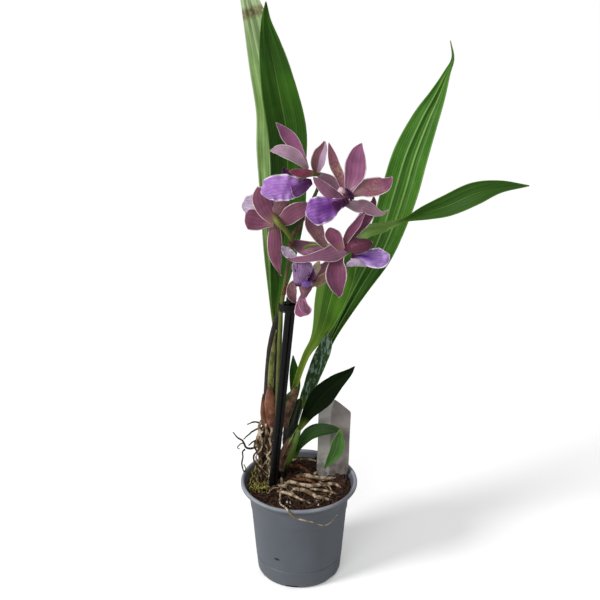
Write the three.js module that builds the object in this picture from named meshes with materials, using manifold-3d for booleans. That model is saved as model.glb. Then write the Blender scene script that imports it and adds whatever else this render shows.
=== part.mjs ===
// A flowering orchid in a 12 cm nursery pot: pot, bark, support sticks, label, roots, shoots, leaves and
// five flowers. Millimetres, +Z up. The origin is the centre of the pot's underside; -Y is the front.
import * as THREE from "three";
import { ParametricGeometry } from "three/addons/geometries/ParametricGeometry.js";
import { mergeVertices } from "three/addons/utils/BufferGeometryUtils.js";
import Module from "manifold-3d";

const wasm = await Module();
wasm.setup();

// Driving dimensions.
const rimRadius = 60;
const potHeight = 108;
const footRadius = 42.5;
const wall = 1.5;
const floorThickness = 2;
const potSegments = 40;
const drainSlots = 6;
const barkLevel = 99;
const barkCrown = 3;
const stickRadius = 2.3;
const stickFoot = 30;
const clearance = 0.35;
const leafThickness = 1.4;
const tepalThickness = 1.1;
const labelSize = { width: 31, height: 125, thickness: 0.9, shoulder: 9, stemWidth: 12, taper: 50 };

const colours = {
  pot: 0x5f666d,
  bark: 0x3f2c20,
  label: 0x9a928b,
  stick: 0x17151a,
  leaf: 0x3a7421,
  leafDark: 0x1d3d15,
  leafPale: 0x7fae6c,
  shoot: 0x5c6a2c,
  sheath: 0x8a5a3c,
  root: 0xbba68a,
  stem: 0x5d6b2b,
  tepal: 0x86507c,
  lip: 0xa070d0,
  column: 0x5c2a48,
};

const plant = new THREE.Group();

function add(name, geometry, colour, roughness = 0.6) {
  const material = new THREE.MeshStandardMaterial({ color: colour, roughness, metalness: 0 });
  const mesh = new THREE.Mesh(geometry, material);
  mesh.name = name;
  plant.add(mesh);
  return mesh;
}

// ---- helpers -------------------------------------------------------------------------------------------

function curveThrough(points) {
  return new THREE.CatmullRomCurve3(points.map((p) => new THREE.Vector3(...p)), false, "catmullrom", 0.5);
}

// Only positions, shared vertices merged: what a boolean needs.
function weld(geometry) {
  const bare = geometry.clone();
  bare.deleteAttribute("normal");
  bare.deleteAttribute("uv");
  return mergeVertices(bare, 1e-4);
}

function solidOf(geometry) {
  const welded = weld(geometry);
  const index = Array.from(welded.index.array);
  const triVerts = [];
  for (let i = 0; i < index.length; i += 3) {
    const [a, b, c] = index.slice(i, i + 3);
    if (a !== b && b !== c && c !== a) triVerts.push(a, b, c);
  }
  const vertProperties = welded.attributes.position.array;
  return new wasm.Manifold(
    new wasm.Mesh({ numProp: 3, vertProperties, triVerts: new Uint32Array(triVerts) }),
  );
}

function geometryOf(solid) {
  const mesh = solid.getMesh();
  const geometry = new THREE.BufferGeometry();
  geometry.setAttribute("position", new THREE.BufferAttribute(mesh.vertProperties, 3));
  geometry.setIndex(new THREE.BufferAttribute(mesh.triVerts, 1));
  geometry.computeVertexNormals();
  return geometry;
}

// A closed surface swept along a curve: section(angleShare, station) gives the offset from the curve's
// point in the frame of tangent, side and face, and both ends close to a point.
function sweep(path, face, sides, stations, section) {
  const curve = curveThrough(path);
  const faces = curveThrough(Array.isArray(face[0]) ? face : path.map(() => face));
  const surface = (u, v, target) => {
    const station = Math.round(v * (stations + 2));
    const t = THREE.MathUtils.clamp((station - 1) / stations, 0, 1);
    target.copy(curve.getPoint(t));
    if (station === 0 || station === stations + 2) return;
    const tangent = curve.getTangent(t);
    const side = tangent.clone().cross(faces.getPoint(t)).normalize();
    const normal = side.clone().cross(tangent).normalize();
    const corner = Math.round(u * sides) % sides;
    const [across, out] = section(corner / sides, t);
    target.addScaledVector(side, across).addScaledVector(normal, out);
  };
  return new ParametricGeometry(surface, sides, stations + 2);
}

// A blade such as a leaf or a petal: width along the path, folded upwards along the middle by fold.
function blade({ path, widths, face, fold = 0.15, thickness = leafThickness, stations = 16, sides = 6 }) {
  const width = curveThrough(widths.map((w) => [w, 0, 0]));
  return sweep(path, face, sides, stations, (share, t) => {
    const top = share < 0.5;
    const place = top ? share * sides : (1 - share) * sides - 1;
    const s = (place / (sides / 2 - 1)) * 2 - 1;
    const half = Math.max(width.getPoint(t).x, 0.8) / 2;
    const depth = (thickness * (1 - 0.6 * s * s)) / 2;
    return [s * half, fold * Math.abs(s) * half + (top ? depth : -depth)];
  });
}

// A round stalk whose radius changes along its path.
function stalk({ path, radii, sides = 8, stations = 12, grow = 0, flat = 1 }) {
  const radius = curveThrough(radii.map((r) => [r, 0, 0]));
  return sweep(path, [0.3, -0.9, 0.3], sides, stations, (share, t) => {
    const r = Math.max(radius.getPoint(t).x, 0.3) + grow;
    const angle = Math.PI - share * 2 * Math.PI;
    return [Math.cos(angle) * r, Math.sin(angle) * r * flat];
  });
}

// ---- pot, bark, label, sticks --------------------------------------------------------------------------

// Outer wall from the foot to the rolled rim, then the inner wall back down to the floor.
const potProfile = [
  [0, 0],
  [38.5, 0],
  [41.6, 1.6],
  [43.2, 5],
  [44.8, 20.4],
  [44.4, 21],
  [45, 21.8],
  [50.4, 90],
  [52.6, 96.5],
  [57.4, 102.5],
  [59.6, 104.4],
  [rimRadius, 106.4],
  [58.8, potHeight],
  [56.8, potHeight - 0.6],
  [55, 104.4],
  [50.8, 97.6],
  [50.4 - wall, 90.5],
  [45 - wall, 21.8],
  [43.2 - wall, 6],
  [39, floorThickness],
  [0, floorThickness],
];

function lathe(profile, segments = potSegments) {
  return new THREE.LatheGeometry(
    profile.map(([r, z]) => new THREE.Vector2(r, z)),
    segments,
  ).rotateX(Math.PI / 2);
}

// Slots cut through the corner of the floor and the wall, evenly round the foot.
function pot() {
  let body = solidOf(lathe(potProfile));
  for (let i = 0; i < drainSlots; i++) {
    const angle = THREE.MathUtils.degToRad(-100 + (360 / drainSlots) * i);
    const slot = new THREE.BoxGeometry(9, 13, 7)
      .translate(footRadius - 1, 0, 0)
      .rotateZ(angle);
    body = body.subtract(solidOf(slot));
  }
  return geometryOf(body);
}

const leftStick = { foot: [-29, -7, 96], top: [-11, -7, 319], radius: stickRadius };
const rightStick = { foot: [-24.5, -2.2, 96], top: [-5.7, -4, 316], radius: stickRadius };

// A straight round stick, carried down below the bark to the depth of its foot.
function stickGeometry({ foot, top, radius }, grow = 0) {
  const a = new THREE.Vector3(...foot);
  const b = new THREE.Vector3(...top);
  const run = b.clone().sub(a).normalize();
  a.addScaledVector(run, (stickFoot - a.z) / run.z);
  const length = a.distanceTo(b) + grow * 2;
  const middle = a.clone().add(b).multiplyScalar(0.5);
  const turn = new THREE.Quaternion().setFromUnitVectors(new THREE.Vector3(0, 1, 0), run);
  return new THREE.CylinderGeometry(radius * 0.8 + grow, radius + grow, length, 12)
    .applyQuaternion(turn)
    .translate(middle.x, middle.y, middle.z);
}

// The label's outline: pointed top, square shoulders, tapered foot. It leans back a little.
function labelGeometry(grow = 0) {
  const { width, height, thickness, shoulder, stemWidth, taper } = labelSize;
  const half = width / 2 + grow;
  const stem = stemWidth / 2 + grow;
  const outline = new THREE.Shape([
    new THREE.Vector2(-stem, -grow),
    new THREE.Vector2(stem, -grow),
    new THREE.Vector2(half, taper),
    new THREE.Vector2(half, height - shoulder),
    new THREE.Vector2(half - 2, height - shoulder + 2),
    new THREE.Vector2(0, height + grow),
    new THREE.Vector2(-half + 2, height - shoulder + 2),
    new THREE.Vector2(-half, height - shoulder),
    new THREE.Vector2(-half, taper),
  ]);
  return new THREE.ExtrudeGeometry(outline, { depth: thickness + 2 * grow, bevelEnabled: false })
    .translate(0, 0, -thickness / 2 - grow)
    .rotateX(Math.PI / 2)
    .rotateX(THREE.MathUtils.degToRad(-4))
    .rotateY(THREE.MathUtils.degToRad(-1))
    .translate(34.5, 14, 65);
}

// ---- plant: shoots, roots, stem ------------------------------------------------------------------------

const leftShoot = {
  path: [[-28, 23, 150], [-30, 23, 172], [-28, 22.5, 211], [-26, 22, 246], [-21.5, 21, 275], [-20, 20.5, 290]],
  radii: [5, 7.4, 7, 6.6, 5, 1.6],
  sides: 12,
  stations: 14,
};
const rightShoot = {
  path: [[-16, 16, 92], [-13, 17, 108], [-9, 18, 124], [-5, 19, 140], [-2, 20, 156]],
  radii: [3.5, 6.4, 7, 6, 2.6],
  sides: 12,
  stations: 12,
};
const flowerStem = {
  path: [[-22.5, 10, 172], [-21, 7, 215], [-19.5, 3, 255], [-18, -3, 290], [-17.2, -6.6, 308], [-13.6, -6.2, 332],
    [-9, -6, 360], [-7, -6, 379], [-1, -8, 393], [7, -8, 407], [13, -8, 421], [18, -8, 434]],
  radii: [2.2, 2.5, 2.4, 2.3, 2.1, 2.1, 2.2, 2.6, 2.1, 2, 1.9, 1.7],
  sides: 8,
  stations: 30,
};

// Roots: the rhizome first, then the roots under the left shoot, those that lie over the bark and the
// thin ones that stand out over the rim. Each starts inside the rhizome or another root.
const rhizome = {
  path: [[-33, 24, 98], [-31, 23, 112], [-30, 23, 128], [-29, 23, 144]],
  radii: [8, 6.4, 5.2, 5],
  sides: 10,
  stations: 8,
};
const surfaceLevel = barkLevel + 2.4;
const roots = [
  { path: [[-31, 23, 146], [-37, 19, 136], [-38, 16, 118], [-36, 12, 99]], radii: [1.6, 1.5, 1.4, 1.2] },
  { path: [[-31, 22, 145], [-33, 16, 132], [-32, 13, 116], [-30, 12, 99]], radii: [1.6, 1.5, 1.4, 1.2] },
  { path: [[-28, 23, 144], [-40, 24, 134], [-43, 22, 116], [-42, 18, 99]], radii: [1.5, 1.4, 1.3, 1.2] },
  { path: [[-31, 26, 144], [-37, 30, 130], [-40, 31, 114], [-38, 29, 99]], radii: [1.5, 1.4, 1.3, 1.2] },
  { path: [[-30, 22, 100], [-24, 12, 102], [-19, -6, surfaceLevel + 1], [-20, -26, surfaceLevel]],
    radii: [2, 1.9, 1.7, 1.2] },
  { path: [[-30, 24, 100], [-17, 3, surfaceLevel + 1], [2, 2, surfaceLevel + 1], [26, 0, surfaceLevel],
    [40, -3, surfaceLevel - 1]], radii: [1.6, 2, 1.9, 1.7, 1.2] },
  { path: [[-20, -14, surfaceLevel + 0.4], [-6, -13, surfaceLevel + 1.4], [12, -13, surfaceLevel + 1],
    [36, -16, surfaceLevel]], radii: [1.4, 1.9, 1.7, 1.2] },
  { path: [[-31, 22, 102], [-12, 34, surfaceLevel + 1], [4, 38, surfaceLevel], [22, 34, surfaceLevel - 1]],
    radii: [2, 1.8, 1.6, 1.1] },
  { path: [[-33, 24, 142], [-46, 20, 139], [-54, 16, 137], [-62, 14, 146]], radii: [1.2, 1.1, 1, 0.7] },
  { path: [[-53, 16.5, 137.2], [-56, 14, 128], [-59, 12, 118], [-58, 10, 112.5]], radii: [1, 0.9, 0.8, 0.6] },
];
const rimRoot = {
  path: [[-20, -31, 103], [-18.5, -42, 104.4], [-13, -56, 109.4], [-9, -62.2, 106.5], [-3, -62.4, 102], [7, -61.6, 98],
    [14, -60.6, 95.6], [23, -57, 89.5], [31, -53.6, 90], [39, -49, 97]],
  radii: [0.9, 1, 1, 0.9, 0.8, 0.7, 0.6, 0.5, 0.5, 0.4],
  sides: 6,
  stations: 26,
};

function unionOf(geometries) {
  return geometries.map(solidOf).reduce((whole, next) => whole.add(next));
}

// Two wound turns of wire, flattened into an oval round the sticks and the flower stem.
function tie() {
  const turns = [307, 308.6].map((z) =>
    new THREE.TorusGeometry(1, 0.14, 6, 24)
      .scale(10.6, 5.7, 8)
      .rotateY(THREE.MathUtils.degToRad(3))
      .translate(-11.6, -5.3, z),
  );
  return geometryOf(unionOf(turns));
}

// ---- leaves --------------------------------------------------------------------------------------------

const towardsViewer = [0, -0.9, 0.43];
const leaves = {
  leaf_tall_back: {
    path: [[-24, 32, 262], [-23, 38, 295], [-22, 46, 346], [-20, 54, 406], [-19, 58, 446], [-19, 60, 486],
      [-29, 62, 535], [-42, 62, 580], [-51, 62, 612], [-58, 62, 636]],
    widths: [5, 14, 26, 37, 44, 44, 38, 22, 11, 1],
    face: [-0.15, -0.95, 0.2],
    colour: colours.leafPale,
  },
  leaf_tall_front: {
    path: [[-23, 29, 262], [-23, 30, 295], [-18, 33, 331], [-12, 36, 388], [-11, 37, 439], [-12, 37, 475],
      [-19, 35, 515], [-26, 33, 554], [-30, 31, 581], [-30, 30, 600]],
    widths: [4, 11, 24, 35, 36, 38, 34, 23, 10, 1],
    face: [0.1, -0.97, 0.2],
    colour: colours.leaf,
  },
  leaf_arching: {
    path: [[-9, 19, 182], [-3, 18, 210], [7, 17, 242], [17, 18, 260], [25, 18, 280], [31, 16, 305], [38, 12, 334],
      [47, 4, 362], [60, -6, 386], [80, -14, 396], [99, -18, 405], [118, -20, 413], [139, -21, 421],
      [163, -22, 433], [186, -22, 440], [213, -22, 441]],
    widths: [5, 7, 8, 12, 22, 31, 35, 29, 16, 10, 5, 14, 21, 22, 12, 1],
    face: [-0.1, -0.9, 0.43],
    colour: colours.leaf,
    stations: 28,
  },
  leaf_pleated: {
    path: [[-1, 27, 164], [6, 24, 196], [15, 24, 218], [25, 24, 240], [35, 25, 263], [48, 28, 290], [62, 31, 317],
      [77, 34, 346], [89, 37, 377], [99, 40, 412], [108, 42, 447], [120, 44, 480], [131, 46, 505], [139, 46, 527],
      [144, 46, 542], [141, 46, 559]],
    widths: [4, 8, 8, 8, 10, 17, 24, 32, 35, 38, 36, 28, 17, 7, 3, 1],
    face: [-0.35, -0.85, 0.35],
    colour: colours.leaf,
    stations: 28,
  },
  leaf_short_torn: {
    path: [[4, 12, 184], [12, 12, 212], [21, 12, 239], [27, 12, 256], [31, 12, 271]],
    widths: [5, 14, 16, 13, 4],
    face: [-0.3, -0.9, 0.3],
    colour: colours.leafDark,
    stations: 12,
  },
  leaf_small_back: {
    path: [[-5, 27, 182], [-4, 27, 203], [-5, 26, 222], [-6, 25, 237]],
    widths: [4, 11, 9, 1],
    face: towardsViewer,
    colour: colours.leafDark,
    stations: 10,
  },
  leaf_dark: {
    path: [[0, 8, 162], [10, 4, 185], [23, 0, 206], [36, -4, 223], [48, -8, 236], [55, -10, 245]],
    widths: [4, 14, 24, 18, 9, 1],
    face: [0.1, -0.85, 0.5],
    colour: colours.leafDark,
    stations: 16,
  },
  leaf_folded: {
    path: [[0, 9, 128], [6, 8, 149], [17, 6, 163], [29, 2, 167], [39, -2, 168], [41, -4, 160], [36, -6, 146],
      [30, -7, 136], [25, -7, 127]],
    widths: [4, 8, 11, 11, 11, 12, 13, 9, 1],
    face: [[-0.2, -0.8, 0.6], [-0.2, -0.8, 0.6], [-0.2, -0.8, 0.6], [0, -0.8, 0.6], [0.4, -0.9, 0.3],
      [0.5, -0.9, 0], [0.4, -0.9, -0.1], [0.3, -0.9, -0.2], [0.3, -0.9, -0.2]],
    colour: colours.leaf,
    stations: 20,
  },
};

const sheaths = {
  left_sheath: {
    path: [[-29, 13.5, 157], [-30, 13.3, 175], [-29, 13.2, 190], [-28.5, 13.4, 206]],
    widths: [9, 12, 10, 2],
  },
  right_sheath: {
    path: [[-11, 8, 148], [-9, 9.4, 170], [-7, 11, 190], [-4, 12.5, 206]],
    widths: [5, 11, 11, 2],
  },
};

// ---- flowers -------------------------------------------------------------------------------------------

// Offsets from each flower's centre. A tepal's path runs from its base to its tip; the column starts
// near the flower stem, passes through the centre and ends at the flower's mouth.
const flowers = {
  flower_top_left: {
    centre: [8, -20, 455],
    tepals: {
      sepal_upper: { path: [[-2, 2, 5], [-10, 6, 18], [-18, 8, 29], [-28, 6, 43]], widths: [3, 9, 9, 1] },
      petal_left: { path: [[-4, -3, 5], [-14, -8, 18], [-23, -12, 24], [-34, -14, 25]], widths: [3, 10, 9, 1] },
      petal_right: { path: [[6, 2, 3], [9, 8, 8], [12, 11, 15], [16, 11, 25]], widths: [3, 10, 10, 1],
        face: [-0.5, -0.8, 0.2] },
      sepal_left: { path: [[-3, 5, -2], [-11, 7, -4], [-16, 6, -1], [-22, 4, 3]], widths: [3, 6, 5, 1] },
      sepal_right: { path: [[4, -3, -5], [13, -4, -10], [22, 1, -15], [31, 7, -22]], widths: [3, 8, 8, 2] },
    },
    lip: { path: [[-7, -6, -9], [-14, -12, -10], [-25, -16, -9], [-36, -18, -12], [-43, -18, -15]],
      widths: [6, 20, 26, 22, 8] },
    column: { path: [[10.2, 12, -20.2], [13, 11, -12], [9, 6, -4], [1, 0, -1], [-7, -6, 1], [-15, -10, 0]],
      radii: [1.7, 1.7, 2.2, 2.7, 3, 1.5] },
  },
  flower_top_right: {
    centre: [43, -34, 438],
    tepals: {
      sepal_upper: { path: [[2, 1, 5], [7, 4, 17], [9, 5, 31], [14, 1, 48]], widths: [3, 16, 19, 1] },
      petal_left: { path: [[-2, 3, 6], [-7, 5, 21], [-12, 4, 37], [-16, 0, 51]], widths: [3, 9, 8, 1] },
      petal_right: { path: [[6, 0, 0], [15, 1, 3], [28, 0, 7], [41, -4, 17]], widths: [3, 12, 16, 1] },
      sepal_left: { path: [[-5, -1, 1], [-11, -5, 3], [-19, -5, 8], [-29, -2, 16]], widths: [3, 9, 10, 1] },
      sepal_right: { path: [[4, 1, -5], [13, 2, -12], [25, 2, -16], [38, 0, -16]], widths: [3, 13, 12, 1] },
    },
    lip: { path: [[-4, -8, -6], [-12, -10, -8], [-21, -13, -9], [-30, -14, -10], [-37, -13, -13]],
      widths: [6, 20, 29, 25, 9] },
    column: { path: [[-24, 21, -14], [-14, 14, -9], [-5, 6, -4], [0, 0, 0], [-1, -8, 2], [-3, -13, 5]],
      radii: [1.6, 1.7, 2, 2.6, 3, 1.8] },
  },
  flower_left: {
    centre: [-22, -12, 402],
    tepals: {
      petal_left: { path: [[-5, 0, 0], [-11, 2, -1], [-20, 3, -1], [-29, 1, 4]], widths: [3, 16, 19, 6] },
      sepal_upper: { path: [[-3, 1, 5], [-8, 4, 12], [-14, 5, 19], [-17, 4, 30]], widths: [3, 12, 13, 2] },
      petal_right: { path: [[2, 2, 6], [4, 6, 11], [6, 8, 19], [7, 8, 28]], widths: [3, 9, 12, 2] },
      sepal_right: { path: [[5, 1, 1], [12, 0, 5], [21, -2, 10], [30, -2, 17]], widths: [3, 13, 14, 2] },
      sepal_left: { path: [[-1, 2, -5], [-1, 2, -17], [0, 0, -32], [4, -4, -54]], widths: [3, 13, 14, 1] },
    },
    lip: { path: [[-5, 8, -5], [-9, 14, -6], [-15, 21, -8], [-20, 27, -10], [-23, 30, -10]],
      widths: [6, 15, 21, 19, 7] },
    column: { path: [[11.6, 1, -20], [10, -4, -12], [6, -6, -3], [1, -5, 2], [-1, 2, 0], [-4, 9, 1]],
      radii: [2, 2.6, 3, 3, 2.6, 1.6] },
  },
  flower_right: {
    centre: [41, -30, 390],
    tepals: {
      petal_left: { path: [[-4, -3, 4], [-8, -6, 7], [-12, -7, 11], [-13, -6, 15]], widths: [3, 10, 12, 5] },
      sepal_upper: { path: [[2, -2, 6], [7, -6, 15], [13, -8, 24], [20, -10, 32]], widths: [3, 6, 6, 1] },
      petal_right: { path: [[5, 3, 4], [13, 6, 11], [22, 7, 23], [29, 4, 38]], widths: [3, 9, 12, 1] },
      sepal_left: { path: [[-4, -5, -5], [-17, -12, -8], [-32, -16, -13], [-52, -16, -12]], widths: [3, 10, 7, 1] },
      sepal_right: { path: [[-2, -3, -8], [-4, -7, -19], [-6, -10, -34], [-3, -8, -55]], widths: [3, 16, 18, 1] },
    },
    lip: { path: [[8, -5, -9], [18, -6, -14], [27, -7, -16], [36, -7, -16], [43, -6, -15]],
      widths: [6, 15, 18, 17, 8] },
    column: { path: [[-36, 17, -10], [-21, 10, -8], [-7, 4, -4], [0, 0, 0], [9, -2, 1], [16, -3, 1], [26, -4, 1]],
      radii: [1.8, 1.8, 2.2, 3, 4.4, 4.6, 2.4] },
  },
  flower_bottom: {
    centre: [7, -26, 348],
    tepals: {
      sepal_upper: { path: [[-4, 8, 3], [-8, 21, 6], [-13, 29, 13], [-20, 32, 26]], widths: [3, 10, 13, 2] },
      petal_right: { path: [[2, 4, 5], [4, 11, 10], [9, 14, 17], [15, 14, 26]], widths: [3, 11, 13, 2] },
      petal_left: { path: [[-5, -2, -4], [-10, -1, -9], [-12, 0, -15], [-15, 1, -22]], widths: [3, 8, 8, 2] },
      sepal_right: { path: [[6, 2, -2], [11, 1, 0], [16, 0, 6], [18, -2, 16]], widths: [3, 9, 9, 1] },
      sepal_left: { path: [[-1, -3, -7], [-2, -7, -12], [-3, -9, -20], [3, -11, -31]], widths: [3, 9, 14, 2] },
    },
    lip: { path: [[-4, -8, 1], [-6, -13, 10], [-8, -16, 19], [-9, -18, 26]], widths: [6, 17, 16, 8] },
    column: { path: [[-15, 17, -12], [-10, 12, -9], [-4, 6, -5], [0, 0, 0], [4, -7, 7], [8, -12, 15]],
      radii: [1.8, 2.1, 2.4, 2.8, 2.6, 1.4] },
  },
};

// ---- assembly ------------------------------------------------------------------------------------------

add("pot", pot(), colours.pot, 0.55);
add("support_stick_left", stickGeometry(leftStick), colours.stick, 0.4);
add("support_stick_right", stickGeometry(rightStick), colours.stick, 0.4);
add("stick_tie", tie(), colours.stick, 0.5);
add("plant_label", labelGeometry(), colours.label, 0.45);
add("left_shoot", stalk(leftShoot), colours.shoot);
add("right_shoot", stalk(rightShoot), colours.shoot, 0.4);
add("flower_stem", stalk(flowerStem), colours.stem);
const rootMass = unionOf([stalk(rhizome), ...roots.map((root) => stalk({ ...root, sides: 6, stations: 7 }))]);
add("orchid_roots", geometryOf(rootMass), colours.root, 0.8);
add("rim_root", stalk(rimRoot), colours.root, 0.8);

// The bark fills the pot up to a low crown, with a pocket round each thing that is stuck into it.
function bark() {
  const innerAt = (z) => THREE.MathUtils.mapLinear(z, 21.8, 90.5, 45, 50.4) - wall - clearance;
  const rootsRoom = unionOf([
    stalk({ ...rhizome, grow: clearance }),
    ...roots.map((root) => stalk({ ...root, sides: 6, stations: 7, grow: clearance })),
  ]);
  const fill = lathe(
    [
      [0, floorThickness + clearance],
      [38.2, floorThickness + clearance],
      [innerAt(21.8) - 1.6, 7.5],
      [innerAt(21.8), 22],
      [innerAt(90.5), 90.5],
      [innerAt(90.5) + 1.4, barkLevel - 2.4],
      [34, barkLevel + barkCrown * 0.5],
      [16, barkLevel + barkCrown * 0.9],
      [0, barkLevel + barkCrown],
    ],
    32,
  );
  return geometryOf(
    [
      stickGeometry(leftStick, clearance),
      stickGeometry(rightStick, clearance),
      labelGeometry(clearance),
      stalk({ ...rightShoot, grow: clearance }),
      stalk({ ...rimRoot, grow: clearance }),
    ]
      .map(solidOf)
      .reduce((body, room) => body.subtract(room), solidOf(fill).subtract(rootsRoom)),
  );
}
add("potting_bark", bark(), colours.bark, 0.95);

for (const [name, leaf] of Object.entries(leaves)) add(name, blade(leaf), leaf.colour, 0.45);
for (const [name, sheath] of Object.entries(sheaths)) {
  const shape = { ...sheath, face: [0, -1, 0], fold: -0.25, thickness: 0.8, stations: 8 };
  add(name, blade(shape), colours.sheath, 0.8);
}

for (const [flower, { centre, tepals, lip, column }] of Object.entries(flowers)) {
  const placed = (name, geometry, colour) =>
    add(`${flower}_${name}`, geometry, colour, 0.5).position.set(...centre);
  const petalShape = { face: towardsViewer, thickness: tepalThickness, stations: 7, fold: 0.12 };
  for (const [name, tepal] of Object.entries(tepals))
    placed(name, blade({ ...petalShape, ...tepal }), colours.tepal);
  placed("lip", blade({ ...petalShape, ...lip, sides: 10, fold: -0.25 }), colours.lip);
  placed("column", stalk({ ...column, sides: 6, stations: 12 }), colours.column);
}

export default plant;
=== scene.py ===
import math

import bpy
import numpy as np
from mathutils import Matrix, Vector


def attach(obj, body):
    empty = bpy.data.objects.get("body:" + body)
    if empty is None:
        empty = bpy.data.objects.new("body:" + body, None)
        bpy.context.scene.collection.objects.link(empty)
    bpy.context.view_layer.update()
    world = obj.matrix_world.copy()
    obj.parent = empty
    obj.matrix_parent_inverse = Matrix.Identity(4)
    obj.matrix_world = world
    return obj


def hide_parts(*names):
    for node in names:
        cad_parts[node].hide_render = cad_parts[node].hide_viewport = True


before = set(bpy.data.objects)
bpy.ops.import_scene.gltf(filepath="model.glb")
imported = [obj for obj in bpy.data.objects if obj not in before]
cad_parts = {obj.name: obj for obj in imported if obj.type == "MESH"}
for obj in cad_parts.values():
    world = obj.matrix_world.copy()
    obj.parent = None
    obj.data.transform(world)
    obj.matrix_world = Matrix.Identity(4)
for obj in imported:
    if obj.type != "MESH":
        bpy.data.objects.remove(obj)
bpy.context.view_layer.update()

mm = 0.001


# Curves and meshes

def spline(points, t):
    # a smooth curve through evenly numbered points, read at the shares t of its run
    pts = np.array(points, float)
    pts = pts[:, None] if pts.ndim == 1 else pts
    padded = np.vstack([2 * pts[0] - pts[1], pts, 2 * pts[-1] - pts[-2]])
    place = np.clip(t, 0, 1) * (len(pts) - 1)
    i = np.minimum(place.astype(int), len(pts) - 2)
    f = (place - i)[:, None]
    a, b, c, d = padded[i], padded[i + 1], padded[i + 2], padded[i + 3]
    return 0.5 * (2 * b + (c - a) * f + (2 * a - 5 * b + 4 * c - d) * f**2 + (3 * b - a - 3 * c + d) * f**3)


def unit(v):
    return v / np.maximum(np.linalg.norm(v, axis=-1, keepdims=True), 1e-12)


def wander(seed, x, y=0.0, waves=4):
    # smooth random relief between about -1 and 1
    rng = np.random.RandomState(seed)
    total = 0.0
    for k in range(waves):
        fx, fy, phase = rng.uniform(-1, 1) * (k + 1), rng.uniform(-1, 1) * (k + 1), rng.uniform(0, 6.28)
        total = total + np.sin(6.28 * (fx * x + fy * y) + phase) / (k + 1.5)
    return total / 1.6


def newShape():
    return {"points": [], "faces": [], "uvs": [], "slots": [], "count": 0}


def addGrid(shape, grid, uv, slot=0, flip=False, wrap=False):
    # grid is rows by columns of points; a wrapped grid closes round its columns
    rows, cols = grid.shape[:2]
    base = shape["count"]
    shape["points"].append(grid.reshape(-1, 3))
    shape["count"] += rows * cols
    r, c = np.meshgrid(np.arange(rows - 1), np.arange(cols if wrap else cols - 1), indexing="ij")
    r, c = r.ravel(), c.ravel()
    n = (c + 1) % cols
    quad = np.stack([r * cols + c, r * cols + n, (r + 1) * cols + n, (r + 1) * cols + c], 1)
    flatUv = uv.reshape(-1, 2)
    quadUv = flatUv[quad]
    if wrap:
        last = c == cols - 1
        quadUv[last, 1, 0] = 1.0
        quadUv[last, 2, 0] = 1.0
    if flip:
        quad, quadUv = quad[:, ::-1], quadUv[:, ::-1]
    shape["faces"].extend((quad + base).tolist())
    shape["uvs"].extend(quadUv.reshape(-1, 2).tolist())
    shape["slots"].extend([slot] * len(quad))
    return base


def addFan(shape, centre, ring, uv, flip=False):
    # closes a ring of point numbers with triangles to one middle point
    mid = shape["count"]
    shape["points"].append(np.array([centre]))
    shape["count"] += 1
    for k, a in enumerate(ring):
        b = ring[(k + 1) % len(ring)]
        shape["faces"].append([mid, b, a] if flip else [mid, a, b])
        shape["uvs"].extend([uv] * 3)
        shape["slots"].append(0)


def sectionOf(spec, s, t, half):
    # how far across and how far out each point of the sheet lies from its middle line
    curl = spline(spec.get("curl", [0.0, 0.0]), t)
    curl = np.where(np.abs(curl) < 1e-3, 1e-3, curl)
    x = half * np.sin(curl * s) / curl
    z = half * (1 - np.cos(curl * s)) / curl
    z = z + spec.get("fold", 0.0) * (np.sqrt(s**2 + 0.012) - 0.11) * half
    for place, depth, breadth in spec.get("ridges", []):
        z = z + depth * np.exp(-(((s - place) / breadth) ** 2)) * np.minimum(half / 9, 1)
    wave, turns = spec.get("ruffle", (0.0, 0.0))
    tt = np.broadcast_to(t[:, None], z.shape)
    seed = spec.get("seed", 1)
    rim = np.abs(s) ** 2.5 * np.maximum(np.sin(np.pi * np.clip(tt, 0, 1)), 0) ** 0.5
    z = z + wave * rim * np.sin(6.28 * turns * tt + 2.1 * np.sign(s) + 2 * wander(seed, tt, s))
    z = z + spec.get("uneven", 0.0) * wander(seed + 7, tt * 2.2, s * 0.8)
    x = x * (1 + 0.02 * wander(seed + 3, tt * 3, s * 0.4))
    return x, z


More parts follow.
